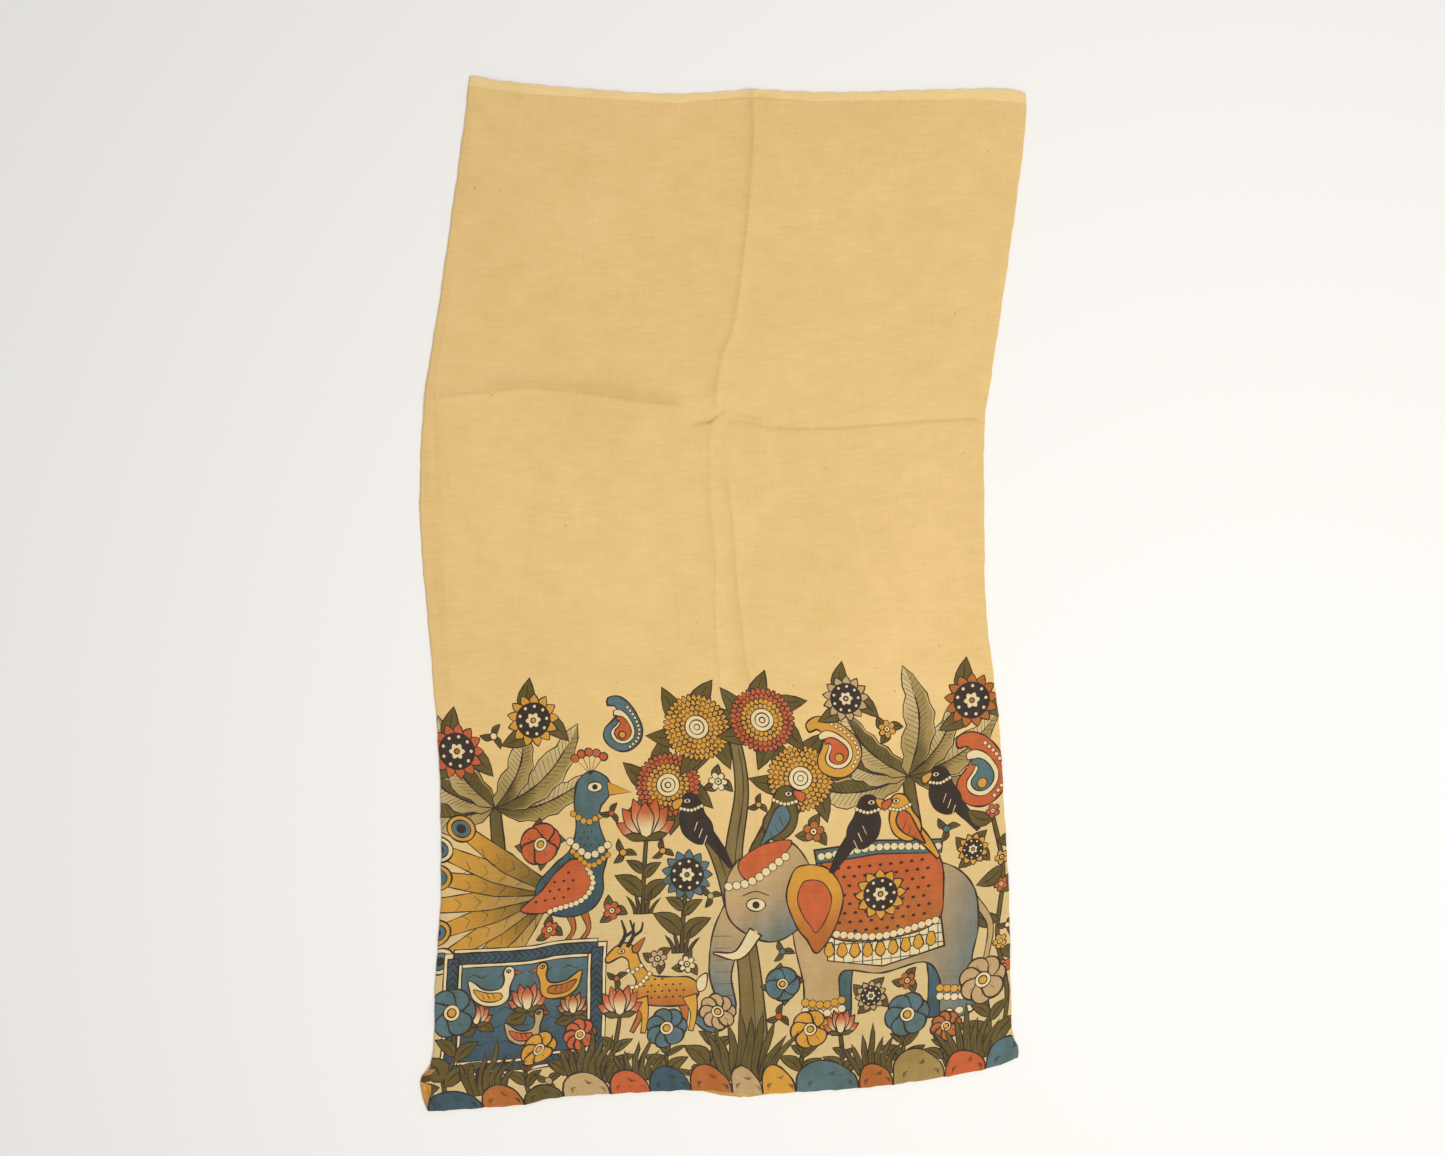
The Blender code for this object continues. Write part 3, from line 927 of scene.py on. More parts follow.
def goose(pen, dye="cream", wing="ochre"):
    """A swimming goose facing +x, one unit high."""
    pen.shape([(0.55, 0.94), (0.80, 0.84), (0.56, 0.80)], "red", weight=FINE, sharp=True)
    pen.shape([
        (0.50, 0.52), (0.60, 0.80), (0.56, 0.98), (0.40, 1.02), (0.30, 0.88), (0.33, 0.66),
        (0.26, 0.48), (0.06, 0.42), (-0.20, 0.46), (-0.42, 0.62), (-0.60, 0.70), (-0.56, 0.44),
        (-0.46, 0.20), (-0.16, 0.02), (0.22, 0.02), (0.46, 0.20),
    ], dye)
    pen.shape([
        (-0.46, 0.46), (-0.10, 0.36), (0.24, 0.34), (0.28, 0.20), (0.06, 0.12), (-0.26, 0.18),
    ], wing, weight=FINE)
    for k in range(3):
        pen.line([(-0.24 + 0.14 * k, 0.34), (-0.18 + 0.14 * k, 0.20)], FINE, sharp=True)
    eye(pen, 0.44, 0.90, 0.06)


def peacock(pen):
    """A peacock facing +x with its long train behind it, its back about one unit up."""
    for i, turn in enumerate(range(226, 146, -10)):
        long = (1.06 - 0.03 * abs(i - 3.5)) * (0.93 if i % 2 else 1.0)
        side = 0.05 * (3.5 - i)
        one = pen.at(-0.10, 0.44, turn)
        path = [(0.0, 0.0), (long * 0.5, side * 0.4), (long, side)]
        one.ribbon(path, [0.06, 0.16, 0.10], "olive" if i % 2 else "leaf", "ochre", FINE)
        for k in range(4):
            x = long * (0.26 + 0.15 * k)
            for way in (0.05, -0.05):
                one.line([(x, side * 0.3), (x + 0.05, side * 0.3 + way)], HAIR, sharp=True)
        one.disc(long, side, 0.118, 0.10, dye="ochre" if i % 2 else "cream")
        one.disc(long, side, 0.080, 0.066, dye="indigo", weight=FINE)
        one.disc(long, side, 0.042, 0.036, dye="ink", inked=False)
    for x in (0.02, 0.14):
        pen.ribbon([(x, 0.26), (x + 0.058, 0.1), (x, 0.0)], [0.07, 0.036, 0.03], "orange", weight=FINE)
        for toe in (-0.06, 0.02, 0.09):
            pen.line([(x, 0.01), (x + toe, -0.02)], sharp=True)
    body = np.array([
        (0.30, 0.52), (0.34, 0.72), (0.28, 0.92), (0.29, 1.06), (0.37, 1.17), (0.36, 1.29),
        (0.24, 1.36), (0.12, 1.29), (0.08, 1.12), (0.09, 0.92), (0.04, 0.74), (-0.10, 0.62),
        (-0.24, 0.48), (-0.20, 0.30), (0.0, 0.20), (0.20, 0.24), (0.30, 0.38),
    ])
    pen.shape(body, "indigo", "deep", (0.2, 1.3), (0.0, 0.2))
    spots_in(pen, body[[0, 1, 2, *range(8, 17)]], 0.060, 0.008, 0.16)
    wing = np.array([
        (0.16, 0.62), (0.22, 0.46), (0.12, 0.32), (-0.12, 0.26), (-0.36, 0.30), (-0.20, 0.44),
        (-0.06, 0.58), (0.06, 0.66),
    ])
    pen.shape(wing, "red")
    spots_in(pen, wing, 0.075, 0.013, 0.34)
    beads(pen, wing[:4], 0.022)
    beads(pen, [(0.07, 1.02), (0.18, 0.95), (0.29, 1.0)], 0.024, "ochre")
    beads(pen, [(0.04, 0.80), (0.19, 0.68), (0.34, 0.76)], 0.030)
    beads(pen, [(0.06, 0.72), (0.20, 0.60), (0.34, 0.68)], 0.022, "ochre")
    pen.shape([(0.35, 1.27), (0.54, 1.18), (0.36, 1.16)], "ochre", weight=FINE, sharp=True)
    eye(pen, 0.25, 1.23, 0.06)
    for turn in range(132, 32, -20):
        one = pen.at(0.22, 1.33, turn)
        one.line([(0.0, 0.0), (0.15, 0.0)], FINE, sharp=True)
        one.disc(0.18, 0.0, 0.034, dye="red", weight=FINE)


def elephant(pen):
    """An elephant facing -x, one unit high, under a spotted saddle cloth and a checked one."""
    for x in (-0.20, 0.40):
        pen.ribbon([(x, 0.5), (x, 0.2), (x - 0.01, 0.0)], [0.2, 0.15, 0.16], "indigo", "deep")
    pen.ribbon([(0.58, 0.70), (0.69, 0.5), (0.66, 0.28)], [0.05, 0.036, 0.03], "grey", weight=FINE)
    pen.shape([(0.64, 0.30), (0.70, 0.22), (0.66, 0.12), (0.61, 0.22)], "ink", weight=FINE)
    pen.shape([
        (-0.36, 0.92), (-0.10, 0.96), (0.20, 0.96), (0.46, 0.90), (0.60, 0.74), (0.62, 0.50),
        (0.58, 0.30), (0.60, 0.02), (0.40, 0.0), (0.39, 0.22), (0.30, 0.34), (0.05, 0.31),
        (-0.17, 0.34), (-0.19, 0.18), (-0.18, 0.0), (-0.38, 0.0), (-0.40, 0.28), (-0.46, 0.56),
        (-0.46, 0.78),
    ], "grey", "indigo", (0.1, 0.5), (0.75, 0.3))
    for x in (-0.28, 0.50):
        for y, dye in ((0.15, "ochre"), (0.10, "cream")):
            beads(pen, [(x - 0.11, y + 0.02), (x, y), (x + 0.10, y + 0.02)], 0.022, dye)
        for toe in (-0.06, 0.0, 0.06):
            pen.disc(x + toe, 0.018, 0.026, 0.022, weight=HAIR)
    lower = np.array([(-0.26, 0.80), (0.38, 0.82), (0.42, 0.42), (0.06, 0.35), (-0.26, 0.41)])
    pen.shape(lower, "cream", sharp=True)
    for turn in (0.0, 90.0):
        lines_in(pen, lower, 0.055, turn, "deep")
    saddle = np.array([
        (-0.28, 1.0), (0.05, 1.03), (0.38, 0.99), (0.42, 0.74), (0.36, 0.56), (0.05, 0.51),
        (-0.24, 0.55), (-0.30, 0.76),
    ])
    pen.shape(saddle, "red", "orange", (0.0, 1.0), (0.0, 0.5))
    spots_in(pen, saddle, 0.062, 0.012, 0.16)
    beads(pen, [(-0.25, 0.57), (0.05, 0.53), (0.37, 0.58)], 0.022)
    for k in range(9):
        one = pen.at(-0.25 + 0.074 * k, 0.515 - 0.02 * math.sin(k * 0.39), -90.0)
        one.shape(petal_outline(0.085, 0.062, 0.5, 0.5), "ochre", weight=FINE)
    seed_flower(pen.at(0.05, 0.78), 0.15, "ochre", 12)
    pen.shape([
        (-0.32, 0.99), (0.05, 1.02), (0.42, 0.98), (0.43, 1.06), (0.05, 1.10), (-0.33, 1.07),
    ], "indigo", sharp=True)
    beads(pen, [(-0.29, 1.03), (0.05, 1.06), (0.40, 1.02)], 0.022)
    trunk = [(-0.74, 0.74), (-0.84, 0.56), (-0.88, 0.34), (-0.84, 0.14), (-0.92, 0.03), (-1.02, 0.08)]
    pen.ribbon(trunk, [0.24, 0.19, 0.14, 0.11, 0.09, 0.06], "grey", "indigo")
    for k in range(6):
        y = 0.56 - 0.07 * k
        x = -0.84 - 0.03 * math.sin((y - 0.2) * 4.0)
        pen.line([(x - 0.05, y), (x + 0.05, y + 0.01)], HAIR, sharp=True)
    pen.shape([
        (-0.36, 0.98), (-0.46, 1.12), (-0.60, 1.12), (-0.66, 1.04), (-0.78, 1.02), (-0.86, 0.86),
        (-0.84, 0.68), (-0.72, 0.58), (-0.56, 0.54), (-0.40, 0.64), (-0.32, 0.80),
    ], "grey", "indigo", (-0.7, 0.9), (-0.42, 0.5))
    pen.ribbon([(-0.68, 0.60), (-0.78, 0.46), (-0.92, 0.46)], [0.08, 0.06, 0.012], "cream")
    ear = np.array([
        (-0.42, 0.98), (-0.26, 0.96), (-0.17, 0.80), (-0.22, 0.60), (-0.32, 0.46), (-0.38, 0.54),
        (-0.44, 0.62), (-0.50, 0.78), (-0.48, 0.90),
    ])
    root = np.array((-0.34, 0.76))
    pen.shape(ear, "ochre", "orange", (-0.3, 0.95), (-0.3, 0.5))
    pen.shape(root + (ear - root) * 0.6, "red", weight=FINE)
    pen.shape([
        (-0.46, 1.13), (-0.64, 1.11), (-0.78, 1.00), (-0.72, 0.90), (-0.58, 0.98),
    ], "red", weight=FINE)
    beads(pen, [(-0.84, 0.86), (-0.70, 0.90), (-0.50, 1.04)], 0.024)
    eye(pen, -0.68, 0.76, 0.056)
    pen.line([(-0.76, 0.81), (-0.68, 0.84), (-0.60, 0.81)], FINE)


def deer(pen):
    """A spotted deer facing +x, its back about one unit up."""
    for path in (
        [(-0.30, 0.42), (-0.34, 0.22), (-0.30, 0.0)], [(0.24, 0.42), (0.30, 0.22), (0.40, 0.02)],
    ):
        pen.ribbon(path, [0.15, 0.08, 0.06], "orange", weight=FINE)
    body = np.array([
        (0.34, 0.74), (0.44, 0.92), (0.46, 1.04), (0.56, 1.10), (0.74, 1.02), (0.78, 1.09),
        (0.66, 1.24), (0.50, 1.30), (0.36, 1.20), (0.28, 1.00), (0.12, 0.82), (-0.14, 0.78),
        (-0.40, 0.76), (-0.54, 0.62), (-0.46, 0.42), (-0.24, 0.36), (0.08, 0.38), (0.32, 0.44),
        (0.40, 0.58),
    ])
    pen.shape(body, "ochre", "orange", (0.0, 0.85), (0.0, 0.35))
    for path in (
        [(-0.40, 0.50), (-0.46, 0.26), (-0.42, 0.0)], [(0.28, 0.50), (0.22, 0.26), (0.24, 0.0)],
    ):
        pen.ribbon(path, [0.20, 0.09, 0.065], "ochre", weight=FINE)
    spots_in(pen, body[9:], 0.1, 0.018, 0.3)
    pen.shape([(-0.50, 0.72), (-0.64, 0.82), (-0.62, 0.60), (-0.52, 0.56)], "cream", weight=FINE)
    pen.shape([(0.42, 1.22), (0.24, 1.36), (0.34, 1.14)], "orange", weight=FINE)
    for x in (0.0, 0.12):
        beam = [(0.48 + x, 1.24), (0.40 + x, 1.42), (0.46 + x, 1.62)]
        tine = [(0.42 + x, 1.38), (0.30 + x, 1.46), (0.28 + x, 1.58)]
        pen.ribbon(beam, [0.05, 0.04, 0.012], "ink", weight=HAIR)
        pen.ribbon(tine, [0.035, 0.03, 0.012], "ink", weight=HAIR)
    eye(pen, 0.56, 1.18, 0.05)
    beads(pen, [(0.28, 0.96), (0.38, 0.88), (0.46, 0.90)], 0.028)
    beads(pen, [(0.16, 0.84), (0.30, 0.68), (0.40, 0.66)], 0.030)


def big_leaf(pen, length, width, bend):
    """A long plantain leaf: washed halves, a double midrib and torn slits at its edge."""
    t = np.linspace(0.0, 1.0, 12)
    middle = np.stack([t * length, bend * length * np.sin(math.pi * t * 0.9)], axis=-1)
    half = 0.5 * width * np.sin(math.pi * t ** 0.75) ** 0.7
    torn = np.stack([np.zeros(12), half * (1.0 - 0.24 * (np.arange(12) % 3 == 2))], axis=-1)
    whole = np.stack([np.zeros(12), half * (1.0 - 0.16 * (np.arange(12) % 2))], axis=-1)
    outline = pen.to_cloth(np.concatenate([middle + torn, (middle - whole)[-2:0:-1]]))
    pen.lay(outline, "leaf", "ground", (0.0, 0.0), (length * 0.9, width * 0.4))
    wash = pen.to_cloth(np.concatenate([middle, (middle - whole * 0.86)[-2:0:-1]]))
    pen.lay(wash, "olive", "leaf", (length * 0.5, 0.0), (length * 0.55, -width * 0.42))
    pen.stroke(outline, FINE, closed=True)
    pen.line(middle[::3], LINE, taper=0.5)
    for k in range(2, 10):
        for root in (middle[k], (middle[k] + middle[k + 1]) / 2.0):
            pen.line([root, root + (0.07 * length, half[k] * 0.75)], HAIR, sharp=True)
            pen.line([root, root + (0.06 * length, -half[k] * 0.50)], HAIR, sharp=True)


def plantain(pen, size, turns, stalk):
    """A fan of long leaves from one stalk that comes up from the ground."""
    pen.ribbon([(0.0, -stalk), (0.006, -stalk * 0.5), (0.0, 0.0)], [0.022, 0.018, 0.012], "leaf", "olive")
    for i, turn in enumerate(turns):
        long = size * (1.0 - 0.11 * (i % 3))
        big_leaf(pen.at(0.0, 0.0, turn), long, long * 0.31, 0.14 if turn > 90 else -0.14)


def tree(pen, limbs, crowns):
    """A trunk and its limbs under one outline, with a ringed flower among leaves at each end."""
    for path, widths in limbs:
        pen.lay(pen.band(path, widths, pen.line_width)[1], "ink")
    for path, widths in limbs:
        middle, outline = pen.band(path, widths)
        pen.lay(outline, "trunk")
        pen.stroke(middle[2:-3:2] + (0.002, 0.0), FINE, taper=0.4)
    for x, y, radius, dye in crowns:
        for turn in range(15, 360, 60):
            leaf(pen.at(x, y, turn + 1000.0 * x), radius * 1.56, radius * 0.66)
        ringed_flower(pen.at(x, y, 400.0 * y), radius, dye)


def braid(pen, path, width, dye):
    """A band with chevrons along it."""
    pen.ribbon(path, [width] * len(path), dye)
    line = curve(pen.to_cloth(path), step=0.0075, most=40)
    ahead, square = ways_along(line)
    for spot, on, side in zip(line[1:-1], ahead[1:-1] * width, square[1:-1] * width):
        for way in (1.0, -1.0):
            ends = [spot - on * 0.2 + side * way * 0.42, spot + on * 0.35]
            pen.stroke(np.array(ends), FINE)


def tank(pen, wide, high):
    """A lotus tank with a braided rim, geese on its water and lotuses in it."""
    def rims(past):
        """The middle lines of the four rims, the two upright ones longer by so much at each end."""
        for start, end in (
            ((0.0, high), (wide, high)), ((0.0, 0.0), (wide, 0.0)),
            ((0.0, -past), (0.0, high + past)), ((wide, -past), (wide, high + past)),
        ):
            yield [start, ((start[0] + end[0]) / 2.0, (start[1] + end[1]) / 2.0), end]

    water = [(0.0, 0.0), (wide, 0.0), (wide, high), (0.0, high)]
    pen.shape(water, "indigo", "deep", (0.0, high), (0.0, 0.0), sharp=True)
    for row in range(5):
        y = high * (0.22 + 0.15 * row)
        for k in range(4):
            x = wide * (0.10 + 0.22 * k + 0.10 * (row % 2))
            pen.line([(x, y), (x + 0.008, y + 0.004), (x + 0.016, y), (x + 0.024, y + 0.004)], HAIR)
    for x, y, size, dye in (
        (0.52, 0.50, 0.032, "red"), (0.84, 0.40, 0.026, "orange"), (0.17, 0.40, 0.026, "red"),
    ):
        for turn in (200, 340):
            leaf(pen.at(wide * x, high * y, turn), size * 0.8, size * 0.5)
        lotus(pen.at(wide * x, high * y), size, dye)
    goose(pen.at(wide * 0.27, high * 0.56, size=0.042))
    goose(pen.at(wide * 0.74, high * 0.56, size=0.042, flip=True), "ochre", "orange")
    goose(pen.at(wide * 0.50, high * 0.20, size=0.036), "grey", "red")
    for path in rims(0.006):
        pen.ribbon(path, [0.020] * 3, "cream", weight=FINE)
    for path in rims(0.0):
        braid(pen, path, 0.012, "deep")


# The row of stones along the printed edge, from the left roll on: width, height and dye of each
STONES = (
    (0.058, 0.021, "deep"), (0.044, 0.025, "orange"), (0.042, 0.017, "olive"), (0.050, 0.027, "grey"),
    (0.042, 0.027, "red"), (0.043, 0.029, "deep"), (0.044, 0.031, "orange"), (0.032, 0.033, "grey"),
    (0.035, 0.033, "ochre"), (0.067, 0.035, "indigo"), (0.036, 0.027, "orange"), (0.055, 0.038, "leaf"),
    (0.044, 0.027, "red"), (0.052, 0.029, "indigo"),
)
STONES_START = 0.002

# A stone's outline as shares of its width and height, and its small marks: across, up, turn, and how
# much further the mark turns from stone to stone
STONE_ARCH = (
    (-0.5, -0.12), (-0.485, 0.28), (-0.42, 0.58), (-0.24, 0.88), (0.0, 1.0), (0.24, 0.89),
    (0.42, 0.60), (0.49, 0.28), (0.5, -0.12),
)
STONE_MARKS = ((0.12, 0.60, -12.0, 9.0), (-0.24, 0.24, 50.0, 0.0), (0.34, 0.20, -60.0, 0.0))


def stone_border(pen):
    """The row of round-topped stones along the printed edge, right round the cloth."""
    x = STONES_START - sum(wide for wide, _, _ in STONES)
    i = 0
    while x < RIGHT_END + 0.01:
        wide, high, dye = STONES[i % len(STONES)]
        one = pen.at(x + wide / 2.0, 0.0)
        arch = np.array(STONE_ARCH) * (wide * 0.985, high)
        outline = np.concatenate([curve(arch, step=0.006), [(0.0, -0.12 * high)]])
        if x + wide > LEFT_END:
            one.shape(outline, dye, sharp=True)
            for across, up, turn, more in STONE_MARKS:
                spot = one.at(across * wide, up * high, turn + more * i)
                for reach in (0.0044, 0.0022):
                    spot.line([(-reach, 0.0), (-reach * 0.1, reach * 0.75), (reach, reach * 0.1)], HAIR)
        x += wide
        i += 1


def corner_lip(pen):
    """The under layer's corner, which shows beside the pleat at the left end of the printed edge."""
    shade = [(-0.006, 0.048), (0.003, 0.050), (0.010, 0.049), (0.0095, 0.040), (-0.006, 0.037)]
    # Painted shadow in the hollow under the pleat
    hollow = [(0.001, 0.040), (0.0105, 0.041), (0.0118, 0.033), (0.002, 0.032)]
    lip = [
        (-0.006, 0.036), (0.002, 0.034), (0.0135, 0.029), (0.0120, 0.022), (0.001, 0.001),
        (-0.006, 0.001),
    ]
    pen.fill(shade, "lip")
    pen.fill(hollow, "hollow")
    pen.shape(lip, "ochre", "lip", (0.012, 0.03), (-0.004, 0.0), HAIR, sharp=True)
    pen.line([(-0.002, 0.046), (0.004, 0.0505), (0.0105, 0.051)])


# Where the motifs stand: across from the left roll and up from the printed edge, in metres
LIMBS = (
    (((0.334, 0.17), (0.306, 0.27), (0.262, 0.340)), (0.016, 0.012, 0.008)),
    (((0.328, 0.22), (0.366, 0.30), (0.400, 0.350)), (0.015, 0.011, 0.008)),
    (
        ((0.352, 0.02), (0.344, 0.14), (0.326, 0.25), (0.338, 0.34), (0.332, 0.41)),
        (0.030, 0.022, 0.018, 0.013, 0.010),
    ),
)
Head = namedtuple("Head", "across up radius dye")
CROWNS = (
    Head(0.256, 0.345, 0.036, "red"),
    Head(0.404, 0.352, 0.037, "ochre"),
    Head(0.292, 0.408, 0.037, "ochre"),
    Head(0.366, 0.418, 0.036, "red"),
)
SEED_FLOWERS = (
    Head(0.110, 0.424, 0.029, "ochre"),
    Head(0.602, 0.420, 0.031, "orange"),
    Head(0.462, 0.438, 0.026, "grey"),
    Head(0.022, 0.392, 0.030, "red"),
)
Paisley = namedtuple("Paisley", "across up size turn dye inner")
PAISLEYS = (
    Paisley(0.204, 0.386, 0.058, -14, "indigo", "red"),
    Paisley(0.604, 0.300, 0.082, -6, "red", "indigo"),
    Paisley(0.452, 0.352, 0.070, 10, "ochre", "red"),
)
Bird = namedtuple("Bird", "across up size flip dye wing bill")
TREE_BIRDS = (
    Bird(0.378, 0.288, 0.060, False, "olive", "indigo", "red"),
    Bird(0.288, 0.282, 0.056, True, "ink", "ink", "ochre"),
    Bird(0.566, 0.300, 0.054, True, "ink", "ink", "ochre"),
)
SADDLE_BIRDS = (
    Bird(0.470, 0.274, 0.058, False, "ink", "ink", "ochre"),
    Bird(0.520, 0.276, 0.054, True, "ochre", "red", "red"),
)
VINE = ((0.618, 0.02), (0.626, 0.08), (0.616, 0.15), (0.625, 0.22), (0.616, 0.29))
VineLeaf = namedtuple("VineLeaf", "up turn dye")
VINE_LEAVES = (
    VineLeaf(0.100, 215, "red"),
    VineLeaf(0.130, 325, "ochre"),
    VineLeaf(0.165, 150, None),
    VineLeaf(0.195, 30, "red"),
    VineLeaf(0.225, 205, "ochre"),
    VineLeaf(0.255, 340, None),
    VineLeaf(0.280, 150, "red"),
)
PLANT_FOOT = 0.012
Plant = namedtuple(
    "Plant", "across height radius dye petals lean kind up", defaults=("flower", PLANT_FOOT),
)
BACK_PLANTS = (
    Plant(0.226, 0.080, 0.032, "red", 7, 0.05, "lotus", 0.206),
    Plant(0.270, 0.084, 0.028, "indigo", 7, 0.05, "seed", 0.160),
)
PLANTS = (
    Plant(0.026, 0.098, 0.026, "indigo", 6, -0.06),
    Plant(0.112, 0.050, 0.019, "ochre", 6, 0.10),
    Plant(0.158, 0.060, 0.018, "red", 8, 0.05),
    Plant(0.199, 0.078, 0.024, "red", 7, 0.06, "lotus"),
    Plant(0.262, 0.062, 0.022, "indigo", 7, -0.12),
    Plant(0.308, 0.080, 0.020, "grey", 8, 0.02),
    Plant(0.404, 0.060, 0.021, "ochre", 6, 0.1),
    Plant(0.448, 0.052, 0.019, "red", 7, -0.1, "lotus"),
    Plant(0.512, 0.066, 0.024, "indigo", 6, 0.05),
    Plant(0.553, 0.046, 0.017, "orange", 8, 0.1),
    Plant(0.606, 0.090, 0.026, "grey", 7, -0.08),
    Plant(0.700, 0.080, 0.024, "red", 6, 0.1),
    Plant(0.830, 0.080, 0.026, "ochre", 7, 0.0),
    Plant(-0.110, 0.080, 0.024, "ochre", 6, 0.1),
    Plant(-0.240, 0.080, 0.026, "red", 7, 0.0),
)

# Tufts of grass: where they stand, their height and their blades
TUFT_FOOT = 0.014
TUFTS = (
    (0.070, 0.066, 7), (0.180, 0.070, 8), (0.232, 0.056, 6), (0.346, 0.092, 9),
    (0.478, 0.060, 7), (0.580, 0.066, 7), (-0.04, 0.060, 5), (0.765, 0.060, 5),
    (-0.175, 0.060, 5),
)

# Filling flowers and leaves: the lattice on which gaps are sought, their least and greatest size, the
# sizes where their kind changes, how much each turns from the last, and the height they stay under
CELL = 0.004
FILL_LEAST = 0.0115
FILL_MOST = 0.028
FILL_LARGE = 0.021
FILL_MIDDLE = 0.0145
GOLDEN_TURN = 137.5
SKYLINE = (
    (-0.01, 0.40), (0.09, 0.43), (0.16, 0.385), (0.24, 0.40), (0.33, 0.45), (0.42, 0.40), (0.50, 0.43),
    (0.56, 0.40), (0.64, 0.43),
)
FILL_DYES = ("red", "ochre", "indigo", "grey", "orange", "cream")


def fill_gaps(pen):
    """Set leaves and small flowers in the bare ground between the motifs, widest gaps first."""
    across = np.arange(0.004, PANEL_WIDTH - 0.002, CELL)
    ups = np.arange(0.02, BAND_TOP, CELL)
    places = np.stack(np.meshgrid(across, ups), axis=-1).reshape(-1, 2)
    taken = np.zeros(len(places), bool)
    for mark in pen.marks:
        if mark.covers:
            low, high = mark.points.min(0) - 0.001, mark.points.max(0) + 0.001
            near = ~taken & np.all((places > low) & (places < high), axis=1)
            if near.any():
                spots = np.flatnonzero(near)
                taken[spots] = inside(mark.points, places[spots])
    roof = np.interp(places[:, 0], *zip(*SKYLINE))
    room = np.minimum(roof - places[:, 1], 1.0)
    held = places[taken]
    for i in range(0, len(places), 400):
        gaps = places[i:i + 400, None] - held[None]
        room[i:i + 400] = np.minimum(room[i:i + 400], np.hypot(gaps[..., 0], gaps[..., 1]).min(axis=1))
    number = 0
    while True:
        best = int(np.argmax(room))
        size = min(float(room[best]) * 0.97, FILL_MOST)
        if size < FILL_LEAST:
            break
        x, y = places[best]
        turn = GOLDEN_TURN * number
        one = pen.at(x, y, turn)
        dye = FILL_DYES[number % len(FILL_DYES)]
        if size > FILL_LARGE:
            leaves, long, wide = 4, 1.05, 0.62
        elif size > FILL_MIDDLE:
            leaves, long, wide = 3, 1.08, 0.66
        else:
            leaves, long, wide = 3, 1.12, 0.52
        for k in range(leaves):
            leaf(pen.at(x, y, turn + 360.0 / leaves * k), size * long, size * wide)
        if size <= FILL_MIDDLE:
            pen.disc(x, y, size * 0.30, dye=dye, weight=FINE)
        elif size <= FILL_LARGE:
            blossom(one, size * 0.62, dye, 5 + number % 2)
        elif number % 2:
            seed_flower(one, size * 0.76, dye, 11)
        else:
            flower(one, size * 0.82, 5, dye)
        room = np.minimum(room, np.hypot(*(places - (x, y)).T) - size)
        number += 1


def draw_garden(pen):
    """The whole print, from what stands furthest back to what stands in front."""
    plantain(pen.at(0.062, 0.330), 0.130, (172, 18, 146, 44, 118, 72), 0.20)
    plantain(pen.at(0.524, 0.345), 0.124, (176, 8, 152, 32, 126, 56, 90), 0.20)
    tree(pen, LIMBS, CROWNS)
    for row in PAISLEYS:
        paisley(pen.at(row.across, row.up, row.turn, row.size), row.dye, row.inner)
    for row in SEED_FLOWERS:
        for turn in (215, 325, 90):
            leaf(pen.at(row.across, row.up, turn), row.radius * 1.6, row.radius * 0.74)
        seed_flower(pen.at(row.across, row.up), row.radius, row.dye)
    draw_birds(pen, TREE_BIRDS)
    for row in BACK_PLANTS:
        plant(pen, row)
        grass(pen.at(row.across, row.up - 0.003), 0.034, 5)
    pen.ribbon(VINE, [0.0046] * 5, "olive", weight=FINE)
    across, ups = zip(*VINE)
    for row in VINE_LEAVES:
        x = float(np.interp(row.up, ups, across))
        leaf(pen.at(x, row.up, row.turn), 0.034, 0.017)
        if row.dye:
            blossom(pen.at(x, row.up + 0.010), 0.0085, row.dye)
    peacock(pen.at(0.140, 0.176, size=0.138))
    tank(pen.at(0.020, 0.046), 0.158, 0.122)
    elephant(pen.at(0.478, 0.070, size=0.188))
    deer(pen.at(0.248, 0.070, size=0.078, flip=True))
    draw_birds(pen, SADDLE_BIRDS)
    for row in PLANTS:
        plant(pen, row)
    for across, height, blades in TUFTS:
        grass(pen.at(across, TUFT_FOOT), height, blades)
    fill_gaps(pen)
    stone_border(pen)
    corner_lip(pen)


def fabric_points(step, offsets):
    """Points of the flat cloth that carry its folds: an even grid, and rows beside each crease."""
    points = []
    for low, high, pitch in (
        (LEFT_END, -HALF_ARC, 2.0 * step),
        (HALF_ARC, PANEL_WIDTH - HALF_ARC, step),
        (PANEL_WIDTH + HALF_ARC, RIGHT_END, 2.0 * step),
    ):
        columns = np.linspace(low, high, int((high - low) / pitch) + 1)[1:-1]
        rows = np.linspace(0.0, CLOTH_LENGTH, int(CLOTH_LENGTH / pitch) + 1)[1:-1]
        for i, x in enumerate(columns):
            points.extend((x, y + (pitch / 2.0 if i % 2 else 0.0)) for y in rows)
    for crease in CREASES:
        path = crease_path(crease) * (1.0, -1.0) + (0.0, CLOTH_LENGTH)
        square = ways_along(path)[1]
        for off in offsets:
            for side in (1.0,) if off == 0.0 else (1.0, -1.0):
                points.extend(map(tuple, path + square * off * side))
    points = np.array(points)
    clear = (points[:, 1] > EDGE_GAP) & (points[:, 1] < CLOTH_LENGTH - EDGE_GAP)
    clear &= (points[:, 0] > LEFT_END + EDGE_GAP) & (points[:, 0] < RIGHT_END - EDGE_GAP)
    for fold in (0.0, PANEL_WIDTH):
        clear &= np.abs(points[:, 0] - fold) > HALF_ARC + EDGE_GAP
    return points[clear]


def fixed_lines(step):
    """Straight lines across the flat cloth that the cut has to follow, as rows of points."""
    lines = []
    rows = np.linspace(0.0, CLOTH_LENGTH, int(CLOTH_LENGTH / step) + 1)
    for fold in (0.0, PANEL_WIDTH):
        for k in range(ARC_PIECES + 1):
            x = fold - HALF_ARC + ROLL_ARC * k / ARC_PIECES
            lines.append([(x, y) for y in rows])
    columns = np.linspace(LEFT_END, RIGHT_END, int((RIGHT_END - LEFT_END) / step) + 1)
    lines.append([(x, BAND_TOP) for x in columns])
    return lines


